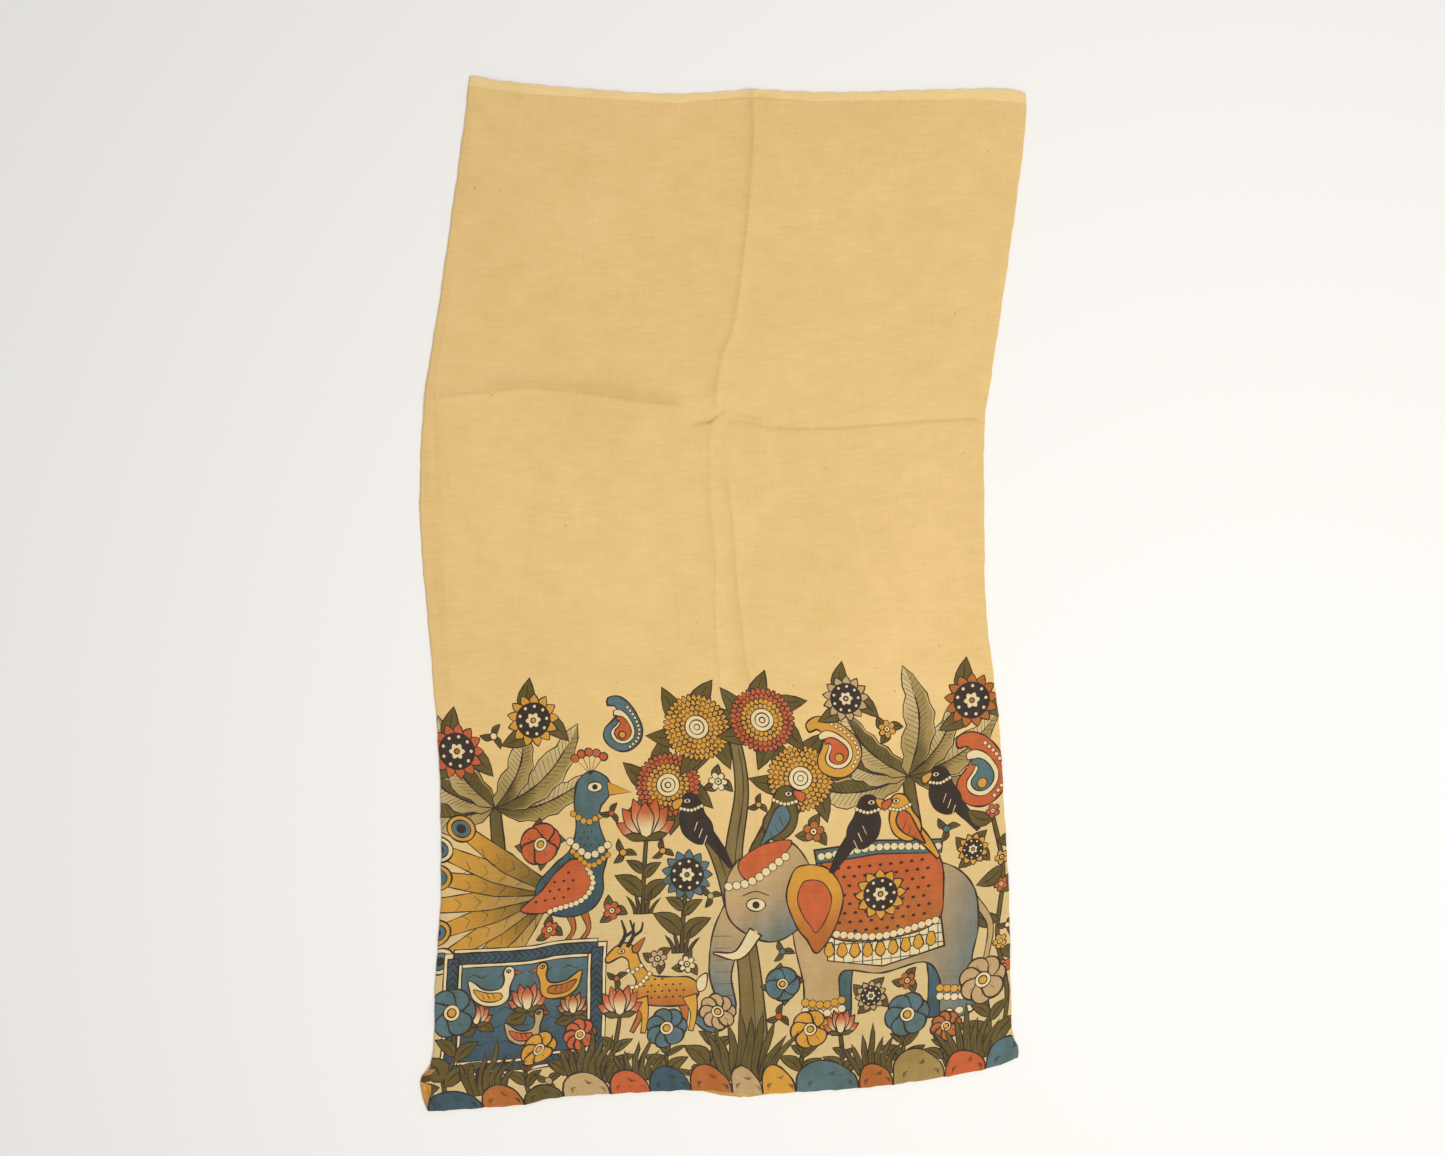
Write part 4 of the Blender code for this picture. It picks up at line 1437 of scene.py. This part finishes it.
def without_hidden(marks):
    """Each mark's faces that still show once later marks have covered what lies under them."""
    orders, boxes, corners, homes = [], [], [], []
    for order, mark in enumerate(marks):
        whole = len(mark.faces) == 1 and len(mark.faces[0]) > 4
        for number, face in enumerate(mark.faces):
            place = mark.points[list(face)]
            orders.append(order)
            boxes.append((*place.min(0), *place.max(0)))
            corners.append(place if whole else place[[0, 1, 2, -1]])
            homes.append(number)
    orders = np.array(orders)
    boxes = np.array(boxes)
    shown = np.ones(len(orders), bool)
    for order, mark in enumerate(marks):
        if not mark.covers or len(mark.points) < 7:
            continue
        low, high = mark.points.min(0), mark.points.max(0)
        held = shown & (orders < order)
        held &= np.all(boxes[:, :2] > low, axis=1) & np.all(boxes[:, 2:] < high, axis=1)
        found = np.flatnonzero(held)
        if len(found) == 0:
            continue
        counts = [len(corners[i]) for i in found]
        within = inside(mark.points, np.concatenate([corners[i] for i in found]))
        starts = np.concatenate(([0], np.cumsum(counts)[:-1]))
        hidden = np.logical_and.reduceat(within, starts)
        shown[found[hidden]] = False
    kept = [[] for _ in marks]
    for order, home, seen in zip(orders, homes, shown):
        if seen:
            kept[order].append(marks[order].faces[home])
    return kept


def on_cloth(cut):
    """The points of a cut, the triangles of it that lie on the cloth, and the faces each is in."""
    flat = np.array([tuple(p) for p in cut[0]])
    triangles = np.array(cut[2])
    centre = flat[triangles].mean(axis=1)
    held = (centre[:, 0] > LEFT_END) & (centre[:, 0] < RIGHT_END)
    held &= (centre[:, 1] > 0.0) & (centre[:, 1] < CLOTH_LENGTH)
    return flat, triangles[held], [cut[5][i] for i in np.flatnonzero(held)]


def top_marks(flat, triangles, found, places, faces, owners):
    """Each triangle's top mark. A face that spilled in the cut is laid again by its own outline."""
    corners = flat[triangles]
    one, other = corners[:, 1] - corners[:, 0], corners[:, 2] - corners[:, 0]
    sizes = np.abs(one[:, 0] * other[:, 1] - one[:, 1] * other[:, 0])
    rows = np.repeat(np.arange(len(found)), [len(here) for here in found])
    numbers = np.array([i for here in found for i in here], int)
    covered = np.bincount(numbers, sizes[rows], len(faces))
    places = np.array(places)
    wanted = np.array([turn_of(places[list(face)]) for face in faces])
    spilled = covered > wanted * SPILL_SHARE + SPILL_AREA
    owners = np.array(owners)
    good = ~spilled[numbers]
    tops = np.zeros(len(triangles), int)
    np.maximum.at(tops, rows[good], owners[numbers[good]])
    centres = corners.mean(axis=1)
    for number in np.flatnonzero(spilled):
        outline = places[list(faces[number])]
        near = np.all((centres > outline.min(0)) & (centres < outline.max(0)), axis=1)
        near = np.flatnonzero(near)
        held = near[inside(outline, centres[near])]
        tops[held] = np.maximum(tops[held], owners[number])
    return tops


def thinned(points, slack):
    """Which points of a line to keep so that it moves by no more than the slack."""
    kept = [0, len(points) - 1]
    spans = [(0, len(points) - 1)]
    while spans:
        first, last = spans.pop()
        if last - first < 2:
            continue
        step = points[last] - points[first]
        rest = points[first + 1:last] - points[first]
        length = float(np.hypot(*step))
        if length > 1e-9:
            off = np.abs(rest[:, 0] * step[1] - rest[:, 1] * step[0]) / length
        else:
            off = np.hypot(*rest.T)
        far = int(np.argmax(off))
        if off[far] > slack:
            middle = first + 1 + far
            kept.append(middle)
            spans += [(first, middle), (middle, last)]
    return sorted(kept)


def directed_edges(triangles):
    """The three edges of each triangle in its direction: all first ones, all second, all third."""
    edges = np.concatenate([triangles[:, [0, 1]], triangles[:, [1, 2]], triangles[:, [2, 0]]])
    return list(map(tuple, edges.tolist()))


def seams(flat, triangles, tops, looks):
    """The lines where the look changes: points, edges, and the marks to the left and right of each."""
    halves = dict(zip(directed_edges(triangles), np.tile(tops, 3).tolist()))
    near = {}
    rims = set()
    for (a, b), left in halves.items():
        right = halves.get((b, a))
        if right is None:
            rims.update((a, b))
        elif looks[left] != looks[right]:
            near.setdefault(a, []).append(b)
    ends = {a for a, others in near.items() if len(others) != 2 or a in rims}
    walked = set()
    points, edges, sides = [], [], []
    for first in sorted(ends) + sorted(set(near) - ends):
        for second in near[first]:
            if (first, second) in walked:
                continue
            chain = [first, second]
            while chain[-1] not in ends and chain[-1] != first:
                a, b = near[chain[-1]]
                chain.append(b if a == chain[-2] else a)
            walked.update(zip(chain, chain[1:]))
            walked.update(zip(chain[1:], chain))
            line = flat[chain]
            kept = thinned(line, SEAM_SLACK)
            if len(kept) == 2 and first == chain[-1]:
                continue
            base = len(points)
            points.extend(map(tuple, line[kept]))
            edges.extend((base + i, base + i + 1) for i in range(len(kept) - 1))
            sides.extend([(halves[first, second], halves[second, first])] * (len(kept) - 1))
    return points, edges, sides


def spread_tops(flat, triangles, cut, edges, sides, places):
    """Each triangle's top mark, spread from the seams it lies beside."""
    home = {}
    for number, (a, b, c) in enumerate(triangles.tolist()):
        home[a, b] = home[b, c] = home[c, a] = number
    tops = np.full(len(triangles), -1)
    walls = set()
    for (a, b), found in zip(cut[1], cut[4]):
        for source in found:
            if source >= len(sides):
                continue
            start, end = (places[i] for i in edges[source])
            ahead = (flat[b] - flat[a]) @ (np.array(end) - np.array(start)) > 0.0
            left, right = sides[source] if ahead else sides[source][::-1]
            if (a, b) in home:
                tops[home[a, b]] = left
            if (b, a) in home:
                tops[home[b, a]] = right
            walls.update(((a, b), (b, a)))
            break
    pairs = [(t, home[b, a]) for (a, b), t in home.items() if (b, a) in home and (a, b) not in walls]
    one, other = np.array(pairs).T
    while True:
        fresh = (tops[one] >= 0) & (tops[other] < 0)
        if not fresh.any():
            break
        tops[other[fresh]] = tops[one[fresh]]
    return np.maximum(tops, 0)


def cut_cloth(marks, points, lines, border):
    """Cut the flat cloth along the print: its points, its triangles, and each triangle's top mark.

    The first cut finds which mark is on top everywhere. Only the lines where the look changes go
    into the second, which adds the points that carry the folds.
    """
    outline = [tuple(p) for p in border]
    seam_edges, sides, places = [], [], list(outline)
    if marks:
        faces = [tuple(range(len(outline)))]
        owners = [0]
        for order, (mark, shown) in enumerate(zip(marks, without_hidden(marks)), 1):
            used = sorted({i for face in shown for i in face})
            number = {i: len(places) + k for k, i in enumerate(used)}
            places.extend(map(tuple, mark.points[used]))
            for face in shown:
                faces.append(tuple(number[i] for i in face))
                owners.append(order)
        cut = delaunay_2d_cdt([Vector(p) for p in places], [], faces, 1, CUT_SLACK, True)
        flat, triangles, found = on_cloth(cut)
        tops = top_marks(flat, triangles, found, places, faces, owners)
        looks = ["bare"] + [
            mark.dye if mark.dye == mark.other else order for order, mark in enumerate(marks)
        ]
        seam_points, seam_edges, sides = seams(flat, triangles, tops, looks)
        base = len(outline)
        places = outline + seam_points
        seam_edges = [(base + a, base + b) for a, b in seam_edges]
    edges = list(seam_edges)
    for line in lines:
        base = len(places)
        places.extend(line)
        edges.extend((base + i, base + i + 1) for i in range(len(line) - 1))
    places.extend(map(tuple, points))
    whole = tuple(range(len(outline)))
    cut = delaunay_2d_cdt([Vector(p) for p in places], edges, [whole], 1, CUT_SLACK, True)
    flat, triangles, _ = on_cloth(cut)
    if not marks:
        return flat, triangles, np.zeros(len(triangles), int)
    return flat, triangles, spread_tops(flat, triangles, cut, edges, sides, places)


def rim_loop(triangles):
    """The points round the rim of a set of triangles, in the triangles' direction."""
    edges = directed_edges(triangles)
    twins = set(edges)
    follow = {a: b for a, b in edges if (b, a) not in twins}
    loop = [next(iter(follow))]
    while follow[loop[-1]] != loop[0]:
        loop.append(follow[loop[-1]])
    return loop


# The ground turns greyer down the band: where it starts, how far it takes and how far it goes
GREY_TOP = 0.40
GREY_FADE = 0.28
GREY_MOST = 0.85


def paint(marks, flat, triangles, tops, dyes):
    """The dye at each triangle's corners."""
    palette = {name: np.array(getattr(dyes, name)) for name in own_names(dyes)}
    corners = flat[triangles]
    pale = smooth((GREY_TOP - corners[:, :, 1]) / GREY_FADE)[:, :, None] * GREY_MOST
    colour = palette["field"] * (1.0 - pale) + palette["ground"] * pale
    for order in np.unique(tops):
        if order == 0:
            continue
        mark = marks[order - 1]
        mine = tops == order
        reach = mark.end - mark.start
        t = ((corners[mine] - mark.start) @ reach) / max(float(reach @ reach), 1e-12)
        t = smooth(t)[:, :, None]
        colour[mine] = palette[mark.dye] * (1.0 - t) + palette[mark.other] * t
    return colour


# Where each part of the flat cloth lies on the square that the finish is baked to
Island = namedtuple("Island", "low high corner size")
BAKE_ISLANDS = {
    "band": Island((0.0, 0.0), (PANEL_WIDTH, BAND_TOP), (0.008, 0.008), (0.984, 0.600)),
    "field": Island((0.0, BAND_TOP), (PANEL_WIDTH, CLOTH_LENGTH), (0.008, 0.620), (0.480, 0.372)),
    "left": Island((LEFT_END, 0.0), (0.0, CLOTH_LENGTH), (0.500, 0.620), (0.150, 0.372)),
    "right": Island((PANEL_WIDTH, 0.0), (RIGHT_END, CLOTH_LENGTH), (0.662, 0.620), (0.150, 0.372)),
    "inner": Island((LEFT_END, 0.0), (RIGHT_END, CLOTH_LENGTH), (0.824, 0.620), (0.168, 0.372)),
}


def bake_places(corners, inner):
    """Where each triangle's corners lie on the square that the finish is baked to."""
    centre = corners.mean(axis=1)
    names = np.where(centre[:, 1] < BAND_TOP, "band", "field").astype(object)
    names[centre[:, 0] < 0.0] = "left"
    names[centre[:, 0] > PANEL_WIDTH] = "right"
    names[inner] = "inner"
    places = np.empty_like(corners)
    for name, island in BAKE_ISLANDS.items():
        mine = names == name
        share = (corners[mine] - island.low) / (np.array(island.high) - island.low)
        places[mine] = np.array(island.corner) + share * island.size
    return places


# The cotton's finish. Threads and slow unevenness shade the dyes; deep dyes are more uneven and are
# brushed; the shade reaches green and blue more than red, so darker places look warmer. Husks lie in
# cells, and most cells have none.
THREAD_SHADE = 0.17
UNEVEN_SHADE = 0.22
SHADE_LEVEL = 1.0 - THREAD_SHADE * 0.85 - UNEVEN_SHADE * 0.55
BRUSHED = 0.75
DEEP_GAIN = 1.3
GREEN_GAIN = 1.15
BLUE_GAIN = 2.1
# Painted shade: the creases and the left roll's strip are darkened toward this brown
CREASE_SHADE_BROWN = (0.50, 0.40, 0.26, 1.0)
HUSK_BROWN = (0.16, 0.09, 0.045, 1.0)
HUSK_CELLS = 13.0
HUSK_SIZE = 0.020
HUSK_RARITY = 0.87
HUSK_STRENGTH = 0.32


def cotton_material(sizes):
    """Dyed cotton: the print's dyes, uneven in the cloth, with slubs both ways and a soft sheen."""
    material = bpy.data.materials.new("painted_cotton")
    material.use_nodes = True
    nodes, links = material.node_tree.nodes, material.node_tree.links
    shader = nodes["Principled BSDF"]
    shader.inputs["Metallic"].default_value = 0.0
    shader.inputs["Specular IOR Level"].default_value = 0.25
    shader.inputs["Sheen Weight"].default_value = 0.12
    shader.inputs["Sheen Roughness"].default_value = 0.6

    def node(kind, **values):
        """A new node with its settings."""
        made = nodes.new(kind)
        for name, value in values.items():
            setattr(made, name, value)
        return made

    def join(source, target):
        """Link the first output of one node to the first input of another."""
        links.new(source.outputs[0], target.inputs[0])
        return target

    def maths(operation, first, second, clamp=False):
        """The result of a sum on two values, each a number or a socket."""
        made = node("ShaderNodeMath", operation=operation, use_clamp=clamp)
        for i, value in enumerate((first, second)):
            if isinstance(value, float):
                made.inputs[i].default_value = value
            else:
                links.new(value, made.inputs[i])
        return made.outputs[0]

    def multiply(first, second):
        """The first colour times the second, as sockets, and the node that does it."""
        made = node("ShaderNodeMix", data_type="RGBA", blend_type="MULTIPLY")
        made.inputs[0].default_value = 1.0
        links.new(first, made.inputs[6])
        if isinstance(second, tuple):
            made.inputs[7].default_value = second
        else:
            links.new(second, made.inputs[7])
        return made

    grain = node("ShaderNodeUVMap", uv_map="cloth_grain")

    def noise(across, up, detail, rough=0.5, seed=0.0):
        """Noise stretched along the cloth: features per metre across and up."""
        place = node("ShaderNodeMapping")
        place.inputs["Scale"].default_value = (across, up, 1.0)
        place.inputs["Location"].default_value = (seed, seed * 0.7, 0.0)
        join(grain, place)
        made = node("ShaderNodeTexNoise", noise_dimensions="2D")
        made.inputs["Scale"].default_value = 1.0
        made.inputs["Detail"].default_value = detail
        made.inputs["Roughness"].default_value = rough
        join(place, made)
        return made.outputs[0]

    warp = noise(28.0, 900.0, 2.0)
    weft = noise(1000.0, 36.0, 2.0, seed=4.0)
    slubs = noise(38.0, 300.0, 3.0, 0.62, seed=9.0)
    pulled = noise(330.0, 24.0, 2.0, 0.55, seed=13.0)
    mottle = noise(26.0, 34.0, 4.0, 0.62, seed=2.0)
    blotch = noise(5.0, 4.0, 3.0, 0.55, seed=6.0)
    threads = maths("ADD", maths("MULTIPLY", warp, 0.4), maths("MULTIPLY", weft, 0.2))
    threads = maths("ADD", threads, maths("MULTIPLY", slubs, 0.75))
    threads = maths("ADD", threads, maths("MULTIPLY", pulled, 0.35))
    uneven = maths("ADD", maths("MULTIPLY", mottle, 0.55), maths("MULTIPLY", blotch, 0.55))
    shade = maths("ADD", maths("MULTIPLY", threads, THREAD_SHADE), SHADE_LEVEL)
    shade = maths("ADD", shade, maths("MULTIPLY", uneven, UNEVEN_SHADE))

    dye = node("ShaderNodeVertexColor", layer_name="dye")
    pale = join(dye, node("ShaderNodeRGBToBW")).outputs[0]
    depth = maths("SUBTRACT", 1.0, maths("DIVIDE", pale, 0.5, clamp=True))
    brushed = maths("SUBTRACT", noise(60.0, 22.0, 4.0, 0.6, seed=21.0), 0.5)
    uneven_dye = maths("MULTIPLY", brushed, maths("MULTIPLY", depth, BRUSHED))
    gain = maths("ADD", maths("MULTIPLY", depth, DEEP_GAIN), 1.0)
    shade = maths("ADD", maths("MULTIPLY", maths("SUBTRACT", shade, 1.0), gain), 1.0)
    shade = maths("ADD", shade, uneven_dye)
    # Painted shade along the creases and the left roll, read from the mesh
    crease = node("ShaderNodeAttribute", attribute_name="painted_crease_shade")
    light = node("ShaderNodeCombineColor")
    links.new(shade, light.inputs[0])
    for i, tone in ((1, GREEN_GAIN), (2, BLUE_GAIN)):
        links.new(maths("SUBTRACT", maths("MULTIPLY", shade, tone), tone - 1.0), light.inputs[i])
    wash = multiply(dye.outputs[0], light.outputs[0])
    # The dye mixed toward brown by the painted shade of the creases
    crease_shaded = multiply(wash.outputs[2], CREASE_SHADE_BROWN)
    links.new(crease.outputs[2], crease_shaded.inputs[0])

    husks = node("ShaderNodeTexVoronoi", voronoi_dimensions="2D", distance="EUCLIDEAN")
    husks.inputs["Scale"].default_value = HUSK_CELLS
    join(grain, husks)
    ragged = maths("ADD", husks.outputs[0], maths("MULTIPLY", weft, 0.012))
    husk = maths("LESS_THAN", ragged, HUSK_SIZE)
    keep = node("ShaderNodeSeparateColor")
    links.new(husks.outputs[1], keep.inputs[0])
    husk = maths("MULTIPLY", husk, maths("GREATER_THAN", keep.outputs[0], HUSK_RARITY))
    flecked = node("ShaderNodeMix", data_type="RGBA")
    links.new(maths("MULTIPLY", husk, HUSK_STRENGTH), flecked.inputs[0])
    links.new(crease_shaded.outputs[2], flecked.inputs[6])
    flecked.inputs[7].default_value = HUSK_BROWN
    links.new(flecked.outputs[2], shader.inputs["Base Color"])

    links.new(maths("ADD", maths("MULTIPLY", mottle, 0.12), 0.82), shader.inputs["Roughness"])
    bump = node("ShaderNodeBump")
    bump.inputs["Strength"].default_value = 0.6
    bump.inputs["Distance"].default_value = sizes.weave
    links.new(threads, bump.inputs["Height"])
    links.new(bump.outputs[0], shader.inputs["Normal"])
    return material


def draw_print(sizes):
    """Every mark on the cloth in its order: the selvedge, the husks and the garden."""
    pen = Pen([], sizes.pen_line)
    past, above = 0.02, CLOTH_LENGTH + 0.01
    places = (LEFT_END - past, 0.0, 0.32, PANEL_WIDTH, RIGHT_END + past)
    shares = (1.0, 1.05, 0.95, 1.1, 1.0)
    lower = [(x, CLOTH_LENGTH - sizes.selvedge * share) for x, share in zip(places, shares)]
    upper = [(RIGHT_END + past, above), (LEFT_END - past, above)]
    pen.fill(np.concatenate([curve(lower, step=0.012, most=40), upper]), "selvedge")
    for i, (across, down) in enumerate(SPECKS):
        x, y = across * PANEL_WIDTH, (1.0 - down) * CLOTH_LENGTH
        pen.disc(x, y, 0.0011 - 0.0004 * (i % 2), 0.0008, "speck", inked=False)
    draw_garden(pen)
    return pen.marks


def cloth_border():
    """The rim of the flat cloth as a row of points, anticlockwise from its lower left corner."""
    wide = int((RIGHT_END - LEFT_END) / EDGE_STEP)
    high = int(CLOTH_LENGTH / EDGE_STEP)
    foot = [(x, 0.0) for x in np.linspace(LEFT_END, RIGHT_END, wide)]
    top = [(x, CLOTH_LENGTH) for x in np.linspace(RIGHT_END, LEFT_END, wide)]
    right = [(RIGHT_END, y) for y in np.linspace(0.0, CLOTH_LENGTH, high)][1:-1]
    left = [(LEFT_END, y) for y in np.linspace(CLOTH_LENGTH, 0.0, high)][1:-1]
    return foot + right + top + left


def rim_faces(loop, partner):
    """The triangles between the rims of the outer and the inner skin, two for each step."""
    faces = []
    for k, a in enumerate(loop):
        after = (k + 1) % len(loop)
        faces += [(loop[after], a, partner[k]), (loop[after], partner[k], partner[after])]
    return np.array(faces)


def make_cloth(sizes, dyes):
    """The folded, painted cloth as one closed sheet: a painted outer skin and a plain inner one."""
    marks = draw_print(sizes)
    fabric = fabric_points(GRID_STEP, CREASE_OFFSETS)
    flat, triangles, tops = cut_cloth(marks, fabric, fixed_lines(EDGE_STEP), cloth_border())
    loop = rim_loop(triangles)
    fabric = fabric_points(INNER_STEP, INNER_OFFSETS)
    border = [tuple(flat[i]) for i in loop]
    flat_in, triangles_in, _ = cut_cloth([], fabric, fixed_lines(INNER_STEP), border)

    outer, tint = fold_cloth(flat, sizes)
    inner, painted_shade_in = fold_cloth(flat_in, sizes, inner=True)
    spots = {(round(x, 6), round(y, 6)): i + len(outer) for i, (x, y) in enumerate(flat_in)}
    partner = [spots[round(flat[i][0], 6), round(flat[i][1], 6)] for i in loop]
    turned = triangles_in[:, ::-1] + len(outer)
    faces = np.concatenate([triangles, turned, rim_faces(loop, partner)])

    corners = np.concatenate([flat, flat_in])[faces]
    bare = corners[len(triangles):]
    # The under layer below the printed edge gets the under dye, which holds painted shade
    shaded = (bare[:, :, 0] < 0.0) | (bare[:, :, 0] > PANEL_WIDTH)
    shaded &= bare[:, :, 1] < UNDER_SHADED
    colours = np.ones((len(faces), 3, 4))
    colours[:len(triangles), :, :3] = paint(marks, flat, triangles, tops, dyes)
    under, field = np.array(dyes.under), np.array(dyes.field)
    colours[len(triangles):, :, :3] = np.where(shaded[:, :, None], under, field)
    baked = bake_places(corners, np.arange(len(faces)) >= len(triangles))

    mesh = bpy.data.meshes.new("painted_cloth")
    mesh.from_pydata(np.concatenate([outer, inner]).tolist(), [], faces.tolist())
    dye = mesh.color_attributes.new("dye", "FLOAT_COLOR", "CORNER")
    dye.data.foreach_set("color", colours.ravel().astype(np.float32))
    # Painted shade along the creases and the left roll, per point
    crease = mesh.attributes.new("painted_crease_shade", "FLOAT", "POINT")
    crease.data.foreach_set("value", np.concatenate([tint, painted_shade_in]).astype(np.float32))
    for name, places in (("cloth_grain", corners), ("OFBake", baked)):
        layer = mesh.uv_layers.new(name=name)
        layer.data.foreach_set("uv", places.ravel().astype(np.float32))
    mesh.shade_smooth()
    mesh.set_sharp_from_angle(angle=math.radians(SHARP_ANGLE))
    mesh.validate()
    mesh.update()
    mesh.materials.append(cotton_material(sizes))
    cloth = bpy.data.objects.new("painted_cloth", mesh)
    bpy.context.scene.collection.objects.link(cloth)
    return cloth


class LayCloth(bpy.types.Operator):
    """Lay the folded, painted cloth where its solid lies"""

    bl_idname = "kalamkari.lay_cloth"
    bl_label = "Lay the cloth"

    def execute(self, context):
        """Make the cloth, attach it to the root body and hide the solid's cloth in its place."""
        cloth = make_cloth(context.scene.kalamkari_sizes, context.scene.kalamkari_dyes)
        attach(cloth, "root")
        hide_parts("cloth")
        return {"FINISHED"}


# The stage: where the camera looks, the floor, and the soft light's place and size
AIM = (-0.0005, 0.0171)
SENSOR_WIDTH = 36.0
FLOOR_HALF = 6.0
FLOOR_GAP = 0.0002
KEY_PLACE = (0.75, -0.35, 2.3)
KEY_SIZE = 1.6
KEY_COLOUR = (1.0, 0.985, 0.96)


def lay_floor(studio):
    """The plain pale floor, just below the cloth."""
    shape = bmesh.new()
    bmesh.ops.create_grid(shape, x_segments=1, y_segments=1, size=FLOOR_HALF)
    bmesh.ops.translate(shape, verts=shape.verts, vec=(0.0, 0.0, -FLOOR_GAP))
    mesh = bpy.data.meshes.new("floor")
    shape.to_mesh(mesh)
    shape.free()
    floor = bpy.data.objects.new("floor", mesh)
    bpy.context.scene.collection.objects.link(floor)
    paint_floor = bpy.data.materials.new("pale_floor")
    paint_floor.use_nodes = True
    shader = paint_floor.node_tree.nodes["Principled BSDF"]
    shader.inputs["Base Color"].default_value = (*studio.floor, 1.0)
    shader.inputs["Roughness"].default_value = 0.95
    shader.inputs["Specular IOR Level"].default_value = 0.1
    mesh.materials.append(paint_floor)
    return floor


def soft_light(studio):
    """One large soft lamp, aimed at the middle of the cloth."""
    key = bpy.data.lights.new("soft key", "AREA")
    key.shape = "DISK"
    key.size = KEY_SIZE
    key.energy = studio.key_power
    key.color = KEY_COLOUR
    lamp = bpy.data.objects.new("soft key", key)
    lamp.location = KEY_PLACE
    lamp.rotation_euler = (-Vector(KEY_PLACE)).to_track_quat("-Z", "Y").to_euler()
    bpy.context.scene.collection.objects.link(lamp)


def plain_room(studio):
    """Even white light from all around."""
    world = bpy.data.worlds.new("plain room")
    world.use_nodes = True
    background = world.node_tree.nodes["Background"]
    background.inputs["Color"].default_value = (1.0, 1.0, 1.0, 1.0)
    background.inputs["Strength"].default_value = studio.ambient
    return world


def camera_above(studio):
    """The camera, which looks straight down."""
    lens = bpy.data.cameras.new("camera")
    lens.lens = studio.lens
    lens.sensor_width = SENSOR_WIDTH
    camera = bpy.data.objects.new("camera", lens)
    camera.location = (*AIM, studio.camera_height)
    camera.rotation_euler = (0.0, 0.0, 0.0)
    bpy.context.scene.collection.objects.link(camera)
    return camera


class SetStage(bpy.types.Operator):
    """Set the plain floor, the soft light and the camera straight above"""

    bl_idname = "kalamkari.set_stage"
    bl_label = "Set the stage"

    def execute(self, context):
        """Make the floor, the light, the room and the camera."""
        scene = context.scene
        studio = scene.kalamkari_studio
        floor = lay_floor(studio)
        soft_light(studio)
        scene.world = plain_room(studio)
        scene.view_settings.view_transform = "Standard"
        scene.view_settings.look = "None"
        scene.camera = camera_above(studio)
        return {"FINISHED"}


class KALAMKARI_PT_panel(bpy.types.Panel):
    """Lists the sizes, the dyes, the studio and the two steps"""

    bl_idname = "KALAMKARI_PT_panel"
    bl_label = "Kalamkari panel"
    bl_space_type = "VIEW_3D"
    bl_region_type = "UI"
    bl_category = "Kalamkari"

    def draw(self, context):
        """Show each group's values in a box, and the two steps below them."""
        scene = context.scene
        for group in (scene.kalamkari_sizes, scene.kalamkari_dyes, scene.kalamkari_studio):
            box = self.layout.box()
            for name in own_names(group):
                box.prop(group, name)
        self.layout.operator(LayCloth.bl_idname)
        self.layout.operator(SetStage.bl_idname)


CLASSES = (ClothSizes, ClothDyes, StudioSettings, LayCloth, SetStage, KALAMKARI_PT_panel)


def register():
    """Register the classes and give the scene its values."""
    for one in CLASSES:
        bpy.utils.register_class(one)
    bpy.types.Scene.kalamkari_sizes = bpy.props.PointerProperty(type=ClothSizes)
    bpy.types.Scene.kalamkari_dyes = bpy.props.PointerProperty(type=ClothDyes)
    bpy.types.Scene.kalamkari_studio = bpy.props.PointerProperty(type=StudioSettings)


def unregister():
    """Take the scene's values and the classes away again."""
    del bpy.types.Scene.kalamkari_studio
    del bpy.types.Scene.kalamkari_dyes
    del bpy.types.Scene.kalamkari_sizes
    for one in reversed(CLASSES):
        bpy.utils.unregister_class(one)


def main():
    """Build everything in order."""
    register()
    bpy.ops.kalamkari.lay_cloth()
    bpy.ops.kalamkari.set_stage()


if __name__ == "__main__":
    main()
